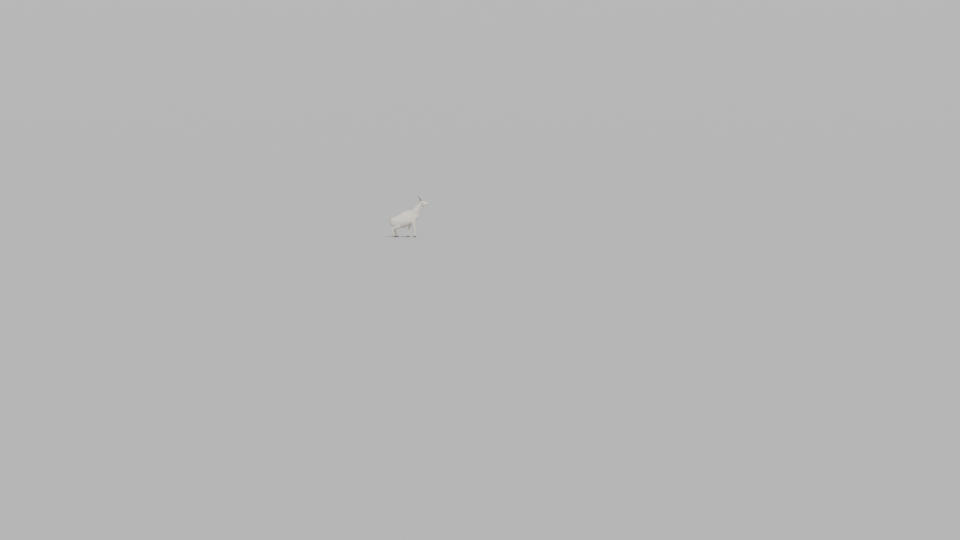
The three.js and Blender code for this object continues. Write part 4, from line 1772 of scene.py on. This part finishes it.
@dataclass
class Horn:
    """A slender black horn, ringed near its base, that curves back to a sharp tip."""

    length: float = 235.0
    base: float = 19.6
    tip: float = 1.6
    taper: float = 0.85  # under 1 makes the horn slimmer sooner
    rounded: Span = (1.02, 0.96)  # the stretch over which the tip closes
    flat_across: float = 0.9
    deep_ahead: float = 1.08
    forward: float = 74.0
    side: float = 25.0
    up: float = 50.0
    lean_base: float = math.radians(22)
    lean_tip: float = math.radians(58)
    splay: float = 0.13
    stations: int = 84
    around: int = 28
    ring_count: int = 11
    ring_share: float = 0.5
    ring_fade: float = 0.12
    ring_depth: float = 0.055
    ring_slope: float = 1.6  # over 1 keeps each ring full for longer
    waver: float = 0.35  # how uneven a ring is round the horn
    waver_share: float = 0.12

    def build(self, hand: int, name: str, node: str) -> Piece:
        """Makes one horn.

        Args:
            hand: which side it is on.
            name: the piece's name.
            node: the node that it stands for.

        Returns:
            The horn, closed at both ends.
        """
        deselect()
        bpy.ops.mesh.primitive_circle_add(
            vertices=self.around, radius=1.0, fill_type="NGON", location=(0, 0, 0)
        )
        horn = bpy.context.object
        horn.name = name
        with editing(horn):
            bpy.ops.mesh.flip_normals()
            for _ in range(self.stations):
                bpy.ops.mesh.extrude_region_move(TRANSFORM_OT_translate={"value": (0, 0, 1)})
            bpy.ops.mesh.merge(type="CENTER")
            bpy.ops.mesh.select_all(action="SELECT")
            bpy.ops.mesh.normals_make_consistent(inside=False)
        self._bend(horn, hand)
        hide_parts(node)
        return horn

    def _bend(self, horn: Piece, hand: int) -> None:
        """Lays the straight column along the horn's curve.

        Args:
            horn: the column, with its stations a metre apart.
            hand: which side it is on.
        """
        flat = places_of(horn.data)
        share = flat[:, 2] / self.stations
        middle, way = self._curve(hand)
        index = np.clip(np.rint(flat[:, 2]).astype(int), 0, self.stations)
        radius = self.base + (self.tip - self.base) * share**self.taper
        radius = radius * smooth(*self.rounded, share) ** 0.5
        start, end = self.ring_share + self.ring_fade, self.ring_share - self.ring_fade
        phase = share / self.ring_share * self.ring_count
        waver = self.waver * np.sin(np.arctan2(flat[:, 1], flat[:, 0]) * 2 + phase)
        saw = ((phase + self.waver_share * waver) % 1.0) ** self.ring_slope
        radius = radius * (1 - self.ring_depth * smooth(start, end, share) * saw)
        deep = unit(np.cross(way[index], (1.0, 0.0, 0.0)))
        wide = unit(np.cross(deep, way[index]))
        offset = wide * (flat[:, 0] * self.flat_across * radius)[:, None]
        offset += deep * (flat[:, 1] * self.deep_ahead * radius)[:, None]
        set_places(horn.data, middle[index] + offset * MM)

    def _curve(self, hand: int) -> tuple[Array, Array]:
        """Works out the horn's middle line.

        Args:
            hand: which side it is on.

        Returns:
            The places and directions of its stations.
        """
        spot = np.array((self.forward, self.side * hand, self.up))
        spots, ways = [], []
        for i in range(self.stations + 1):
            lean = self.lean_base + (self.lean_tip - self.lean_base) * i / self.stations
            way = np.array((-math.sin(lean), self.splay * hand, math.cos(lean)))
            spots.append(head_place(*spot))
            ways.append(head_direction(*way))
            spot = spot + way * self.length / self.stations
        return np.array(spots), np.array(ways)


@dataclass
class Claw:
    """A hoof or dewclaw, rounded from its solid and flat where it stands on the floor."""

    voxel: float = 0.0014
    rounds: int = 22
    flat_height: float = 0.0016

    def build(self, node: Piece, name: str) -> Piece:
        """Makes one from its node.

        Args:
            node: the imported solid.
            name: the piece's name.

        Returns:
            The rounded piece, which never goes under the floor.
        """
        claw = merged_copy([node], name)
        apply_modifier(claw, "REMESH", mode="VOXEL", voxel_size=self.voxel)
        apply_modifier(claw, "SMOOTH", factor=0.5, iterations=self.rounds)
        places = places_of(claw.data)
        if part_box(node.name)[0][2] < self.flat_height:
            places[places[:, 2] < self.flat_height, 2] = 0.0
            set_places(claw.data, places)
        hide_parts(node.name)
        return claw


# Finishes


class Value:
    """A shader socket that takes part in plain arithmetic."""

    def __init__(self, shading: "Shading", socket: bpy.types.NodeSocket) -> None:
        """Wraps a socket."""
        self.shading = shading
        self.socket = socket

    def _math(self, operation: str, *values: object) -> "Value":
        """Adds a Math node."""
        return self.shading.node("ShaderNodeMath", {"operation": operation}, *values)

    def __add__(self, other: object) -> "Value":
        """self + other."""
        return self._math("ADD", self, other)

    def __sub__(self, other: object) -> "Value":
        """self - other."""
        return self._math("SUBTRACT", self, other)

    def __rsub__(self, other: object) -> "Value":
        """other - self."""
        return self._math("SUBTRACT", other, self)

    def __mul__(self, other: object) -> "Value":
        """self * other."""
        return self._math("MULTIPLY", self, other)

    def greatest(self, other: object) -> "Value":
        """The larger of two values."""
        return self._math("MAXIMUM", self, other)

    def rise(self, low: float, high: float) -> "Value":
        """A smooth rise from 0 at low to 1 at high."""
        settings = {"interpolation_type": "SMOOTHSTEP"}
        return self.shading.node("ShaderNodeMapRange", settings, self, low, high, 0.0, 1.0)


class Shading:
    """A new material or world and the nodes that are added to it."""

    def __init__(self, owner: bpy.types.Material | bpy.types.World, shader: str) -> None:
        """Starts with the shader that it comes with.

        Args:
            owner: the new material or world.
            shader: the name of its first shader node.
        """
        owner.use_nodes = True
        self.owner = owner
        self.tree = owner.node_tree
        self.shader = self.tree.nodes[shader]

    @classmethod
    def of_material(cls, name: str) -> "Shading":
        """A new material's shading."""
        return cls(bpy.data.materials.new(name), "Principled BSDF")

    def node(
        self, kind: str, settings: dict[str, object], *inputs: object, output: int | str = 0
    ) -> Value:
        """Adds a node.

        Args:
            kind: the node's type.
            settings: its properties, set first.
            inputs: values or links for its sockets in order, None to leave one.
            output: which of its outputs is wanted.

        Returns:
            That output.
        """
        made = self.tree.nodes.new(kind)
        for name, value in settings.items():
            setattr(made, name, value)
        sockets = [socket for socket in made.inputs if socket.enabled]
        for socket, value in zip(sockets, inputs):
            self._set(socket, value)
        if isinstance(output, str):
            return Value(self, made.outputs[output])
        return Value(self, [socket for socket in made.outputs if socket.enabled][output])

    def _set(self, socket: bpy.types.NodeSocket, value: object) -> None:
        """Links or sets one socket.

        Args:
            socket: the socket.
            value: a value to link, a constant, or None to leave the socket as it is.
        """
        if isinstance(value, Value):
            self.tree.links.new(value.socket, socket)
        elif value is not None:
            socket.default_value = value

    def place(self) -> Value:
        """The Object coordinates."""
        return self.node("ShaderNodeTexCoord", {}, output="Object")

    def attribute(self, name: str) -> Value:
        """A number kept on the mesh."""
        return self.node("ShaderNodeAttribute", {"attribute_name": name}, output="Fac")

    def split(self, vector: Value) -> tuple[Value, Value, Value]:
        """A vector's three parts."""
        whole = self.node("ShaderNodeSeparateXYZ", {}, vector)
        return tuple(Value(self, socket) for socket in whole.socket.node.outputs)

    def noise(self, vector: Value, scale: float, detail: float = 3.0) -> Value:
        """Soft noise, about 0 to 1."""
        return self.node("ShaderNodeTexNoise", {}, vector, scale, detail)

    def grain(self, tilt: float, scale: Point, detail: float = 3.0) -> Value:
        """Soft noise that is tilted and drawn out along the Object coordinates."""
        turn = (tilt, 0, 0)
        drawn = self.node("ShaderNodeMapping", {}, self.place(), None, turn, scale)
        return self.noise(drawn, 1.0, detail)

    def mixed(self, share: object, first: object, second: object) -> Value:
        """Two colours mixed."""
        return self.node("ShaderNodeMix", {"data_type": "RGBA"}, share, first, second)

    def bump(self, height: Value, distance: float, strength: float) -> Value:
        """A Bump node."""
        return self.node("ShaderNodeBump", {}, strength, distance, None, height)

    def give(self, **sockets: object) -> bpy.types.Material | bpy.types.World:
        """Sets or links the shader's sockets.

        Args:
            sockets: values by the sockets' names, with _ for a space.

        Returns:
            The finished material or world.
        """
        for name, value in sockets.items():
            self._set(self.shader.inputs[name.replace("_", " ").title().replace("Ior", "IOR")], value)
        return self.owner


@dataclass(frozen=True)
class FurColours:
    """The markings that skin and coat share."""

    white: Colour = (0.84, 0.795, 0.71, 1)
    cream: Colour = (0.78, 0.69, 0.54, 1)
    bleached_and_painted_light: Colour = (0.93, 0.915, 0.88, 1)
    stained: Colour = (0.60, 0.51, 0.39, 1)
    root: Colour = (0.74, 0.67, 0.56, 1)
    legs: Span = (0.06, 0.42)  # the heights between which the legs' yellow fades, in metres
    rump_back: Span = (0.50, 0.72)
    rump_up: Span = (0.5, 0.66)
    muzzle: Span = (1.26, 1.37)  # how far ahead and up the hair turns greyer
    broad: Span = (5.0, 2.0)  # a noise's scale and detail
    fine: Span = (38.0, 3.0)

    def markings(self, shading: Shading) -> Value:
        """White with cream patches, yellower low on the legs and at the rump.

        Args:
            shading: the material that wears them.

        Returns:
            The colour.
        """
        spot = shading.place()
        _, back, up = shading.split(spot)
        broad = shading.noise(spot, *self.broad)
        fine = shading.noise(spot, *self.fine)
        cream = (broad * 0.8 + fine * 0.4).rise(0.52, 0.82) * 0.55
        low = 1 - (up + (broad - 0.5) * 0.12).rise(*self.legs)
        rump = (back + (broad - 0.5) * 0.2).rise(*self.rump_back) * (1 - up.rise(*self.rump_up))
        coat = shading.mixed(cream, self.white, self.cream)
        coat = shading.mixed((rump * 0.45).greatest(low * 0.5), coat, self.cream)
        dirt = (low * fine.rise(0.42, 0.68)) * 0.55
        muzzle = (up * 0.6 - back).rise(*self.muzzle) * (fine * 0.5 + 0.25)
        return shading.mixed(dirt.greatest(muzzle * 0.6), coat, self.stained)


@dataclass(frozen=True)
class TuftFinish:
    """Hair: matt, with a soft sheen, darker and warmer at the root."""

    colours: FurColours = FurColours()
    rough: float = 0.62
    at_root: float = 0.2  # the root colour's share at a tuft's root
    creamier: Span = (0.10, 0.04)  # how much a tuft's own shade adds, and all tufts alike
    paler: float = -0.12

    def build(self) -> bpy.types.Material:
        """Makes the material.

        Returns:
            The material.
        """
        shading = Shading.of_material("fur_tufts")
        coat = self.colours.markings(shading)
        along = shading.attribute(ALONG)
        tint = shading.attribute(TINT)
        own, alike = self.creamier
        coat = shading.mixed((1 - along.rise(0.0, 0.6)) * self.at_root, coat, self.colours.root)
        # The tufts' own shades, with painted shade at the locks' sides and painted light near their
        # middles, mix towards cream and the pale colour.
        coat = shading.mixed((tint * own + alike).greatest(0.0), coat, self.colours.cream)
        coat = shading.mixed((tint * self.paler).greatest(0.0), coat, self.colours.bleached_and_painted_light)
        return shading.give(
            base_color=coat, roughness=self.rough, sheen_weight=0.35, sheen_roughness=0.5
        )


@dataclass(frozen=True)
class SkinFinish:
    """Short flat fur as bump, dark bare skin on the nose, lips, lids and feet, and painted shade in the
    ears' hollows.
    """

    colours: FurColours = FurColours()
    bare_dark: Colour = (0.022, 0.019, 0.018, 1)
    bare_pale: Colour = (0.05, 0.042, 0.04, 1)
    undercoat: float = 0.06
    grain: Span = (900.0, 2.0)  # the noise's scale and detail
    cells: float = 620.0
    dull: float = 0.75
    wetter: float = 0.42  # how much less rough bare skin is

    def build(self) -> bpy.types.Material:
        """Makes the material.

        Returns:
            The material.
        """
        shading = Shading.of_material("skin_and_short_fur")
        spot = shading.place()
        coat = shading.mixed(self.undercoat, self.colours.markings(shading), self.colours.root)
        # The bare skin, with the painted shade in the ears' hollows, mixes towards the dark skin
        # colours.
        bare = shading.attribute(BARE_OR_SHADED)
        grain = shading.noise(spot, *self.grain)
        cells = shading.node("ShaderNodeTexVoronoi", {"feature": "F1"}, spot, self.cells)
        skin = shading.mixed(grain.rise(0.3, 0.8) * 0.5, self.bare_dark, self.bare_pale)
        return shading.give(
            base_color=shading.mixed(bare, coat, skin),
            roughness=self.dull - bare * self.wetter,
            normal=shading.bump(cells * bare * 0.6 + grain * (1 - bare), 0.0007, 0.6),
            sheen_weight=0.15,
            sheen_roughness=0.5,
        )


@dataclass(frozen=True)
class HornFinish:
    """Black horn, worn a little paler and duller at the base."""

    black: Colour = (0.010, 0.009, 0.008, 1)
    pale: Colour = (0.035, 0.031, 0.027, 1)
    worn_up: Span = (1.22, 1.31)
    fibres: Point = (900, 900, 60)
    fibre_tilt: float = 0.7
    polished: float = 0.30

    def build(self) -> bpy.types.Material:
        """Makes the material.

        Returns:
            The material.
        """
        shading = Shading.of_material("black_horn")
        _, _, up = shading.split(shading.place())
        grain = shading.grain(self.fibre_tilt, self.fibres)
        worn = 1 - (up + (grain - 0.5) * 0.02).rise(*self.worn_up)
        return shading.give(
            base_color=shading.mixed(worn * grain.rise(0.35, 0.7), self.black, self.pale),
            roughness=worn * 0.22 + grain * 0.08 + self.polished,
            normal=shading.bump(grain, 0.0004, 0.5),
        )


@dataclass(frozen=True)
class HoofFinish:
    """Dark hoof horn with growth rings, scuffed pale near the floor."""

    dark: Colour = (0.022, 0.020, 0.018, 1)
    ring: Colour = (0.036, 0.032, 0.028, 1)
    scuff: Colour = (0.075, 0.068, 0.060, 1)
    scuffed_up: Span = (0.001, 0.018)
    fibres: Point = (700, 700, 90)
    rings: Point = (12, 12, 330)
    ring_tilt: float = 0.2
    dull: float = 0.46

    def build(self) -> bpy.types.Material:
        """Makes the material.

        Returns:
            The material.
        """
        shading = Shading.of_material("hoof_horn")
        _, _, up = shading.split(shading.place())
        grain = shading.grain(0.0, self.fibres)
        rings = shading.grain(self.ring_tilt, self.rings, 2.0)
        scuffed = (1 - (up + (grain - 0.5) * 0.012).rise(*self.scuffed_up)) * 0.8
        colour = shading.mixed(rings.rise(0.35, 0.7), self.dark, self.ring)
        return shading.give(
            base_color=shading.mixed(scuffed * grain.rise(0.3, 0.75), colour, self.scuff),
            roughness=scuffed * 0.25 + self.dull,
            normal=shading.bump(rings * 0.7 + grain * 0.3, 0.0006, 0.6),
        )


@dataclass(frozen=True)
class EyeFinish:
    """A wet eye: dark amber iris with a level, bar-shaped pupil."""

    amber_dark: Colour = (0.055, 0.024, 0.009, 1)
    amber: Colour = (0.12, 0.058, 0.021, 1)
    rim: Colour = (0.010, 0.007, 0.005, 1)
    pupil: Colour = (0.002, 0.002, 0.003, 1)
    narrow: float = 3.1  # larger makes the pupil shorter along its bar
    flat: float = 6.6  # larger makes it lower

    def build(self) -> bpy.types.Material:
        """Makes the material.

        Returns:
            The material.
        """
        shading = Shading.of_material("goat_eye")
        iris_map = shading.node("ShaderNodeUVMap", {"uv_map": IRIS_MAP})
        x, y, _ = shading.split(iris_map)
        x, y = x - 0.5, y - 0.5
        streaks = shading.noise(iris_map, 26.0, 4.0)
        iris = shading.mixed(streaks.rise(0.3, 0.7), self.amber_dark, self.amber)
        far = (x * x + y * y) * 4.0
        colour = shading.mixed(far.rise(0.55, 0.95), iris, self.rim)
        wide, tall = x * self.narrow, y * self.flat
        bar = wide * wide * wide * wide + tall * tall * tall * tall
        colour = shading.mixed(1 - bar.rise(0.7, 1.2), colour, self.pupil)
        return shading.give(
            base_color=colour, roughness=0.12, specular_ior_level=0.25, coat_weight=0.45
        )


@dataclass(frozen=True)
class FloorFinish:
    """A plain pale matt floor."""

    shade: float = 0.4

    def build(self) -> bpy.types.Material:
        """Makes the material.

        Returns:
            The material.
        """
        shading = Shading.of_material("pale_floor")
        speck = shading.noise(shading.place(), 3.0, 3.0)
        pale = (self.shade, self.shade, self.shade * 1.01)
        darker = tuple(part * 0.985 for part in pale)
        colour = shading.mixed(speck, (*pale, 1), (*darker, 1))
        return shading.give(base_color=colour, roughness=1.0, specular_ior_level=0.0)


# The studio


class Sun(Enum):
    """The lamps, as the way their light falls, strength and softness in degrees."""

    KEY = ((0.62, 0.34, -0.78), 2.9, 11.0)
    RIM = ((-0.70, -0.30, -0.55), 0.5, 30.0)


@dataclass
class Studio:
    """Floor, light and camera. The image is taken to be 960 by 540."""

    metres_per_pixel: float = 0.034
    lens: float = 100.0
    sensor: float = 36.0
    image_width: int = 960
    image_middle: Span = (480.0, 270.0)
    foot_pixel: Span = (409.0, 237.0)
    elevation: float = math.radians(3.0)
    floor_half: float = 420.0
    horizon: float = 0.68
    rise: float = 0.6  # how much brighter the sky is overhead

    def build(self) -> None:
        """Sets it all up."""
        self._camera()
        self._sky()
        falling = 0.0
        for lamp in Sun:
            way, strength, softness = lamp.value
            light = bpy.data.lights.new(lamp.name.lower(), "SUN")
            light.energy = strength
            light.angle = math.radians(softness)
            self._hang(light, Vector(way))
            falling += strength * -way[2] / Vector(way).length
        light = falling / math.pi + self.horizon * (1 + 2 / 3 * self.rise)
        self._floor(self.horizon / light)

    @staticmethod
    def _hang(data: bpy.types.ID, way: Vector) -> Piece:
        """Puts a lamp or the camera into the scene.

        Args:
            data: the lamp or camera.
            way: the way that it faces.

        Returns:
            Its object, at the origin.
        """
        holder = bpy.data.objects.new(data.name, data)
        holder.rotation_mode = "QUATERNION"
        holder.rotation_quaternion = way.to_track_quat("-Z", "Y")
        bpy.context.collection.objects.link(holder)
        return holder

    def _camera(self) -> None:
        """A long lens from far off the goat's right side, framed as the photo is."""
        pixels = self.lens / self.sensor * self.image_width
        distance = pixels * self.metres_per_pixel
        look = Vector((math.cos(self.elevation), 0, -math.sin(self.elevation)))
        right = look.cross(Vector((0, 0, 1))).normalized()
        upward = right.cross(look)
        across, down = (
            (middle - foot) * self.metres_per_pixel
            for middle, foot in zip(self.image_middle, self.foot_pixel)
        )
        camera = bpy.data.cameras.new("camera")
        camera.lens = self.lens
        camera.sensor_width = self.sensor
        camera.clip_start = 0.1
        camera.clip_end = 1000.0
        holder = self._hang(camera, look)
        holder.location = right * across - upward * down - look * distance
        bpy.context.scene.camera = holder

    def _sky(self) -> None:
        """Soft light from all round, brighter overhead."""
        shading = Shading(bpy.data.worlds.new("studio"), "Background")
        way = shading.node("ShaderNodeTexCoord", {}, output="Generated")
        _, _, up = shading.split(way)
        top = self.horizon * (1 + self.rise)
        level = shading.node("ShaderNodeMapRange", {}, up, 0.0, 1.0, self.horizon, top)
        bpy.context.scene.world = shading.give(color=(1, 1, 1, 1), strength=level)

    def _floor(self, shade: float) -> None:
        """Lays the floor, as bright far off as the sky behind it.

        Args:
            shade: how much light it gives back.
        """
        deselect()
        bpy.ops.mesh.primitive_plane_add(size=2 * self.floor_half, location=(0, 0, 0))
        floor = bpy.context.object
        floor.name = "floor"
        floor.data.materials.append(FloorFinish(shade).build())


def main() -> None:
    """Builds the goat and the studio."""
    logging.basicConfig(level=logging.INFO, format="%(message)s")
    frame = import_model()
    nodes = frame["nodes"]
    Studio().build()
    plan, eyes = BodyPlan(), Eyes()

    skin = Skin(plan, eyes).build(nodes)
    wear(skin, SkinFinish().build())
    tuft_finish = TuftFinish().build()
    for piece in [*Coat(plan, eyes).build(skin), Beard().build()]:
        wear(piece, tuft_finish)

    horn_finish, eye_finish = HornFinish().build(), EyeFinish().build()
    hoof_finish = HoofFinish().build()
    for hand, side in ((LEFT, "left"), (RIGHT, "right")):
        eye = Eyeball(eyes).build(hand, f"eyeball_{side}", f"eye_{side}")
        wear(eye, eye_finish)
        horn = Horn().build(hand, f"ringed_horn_{side}", f"horn_{side}")
        wear(horn, horn_finish)
    for name, node in nodes.items():
        if name.startswith(("hoof_", "dewclaw_")):
            wear(Claw().build(node, f"rounded_{name}"), hoof_finish)


if __name__ == "__main__":
    main()
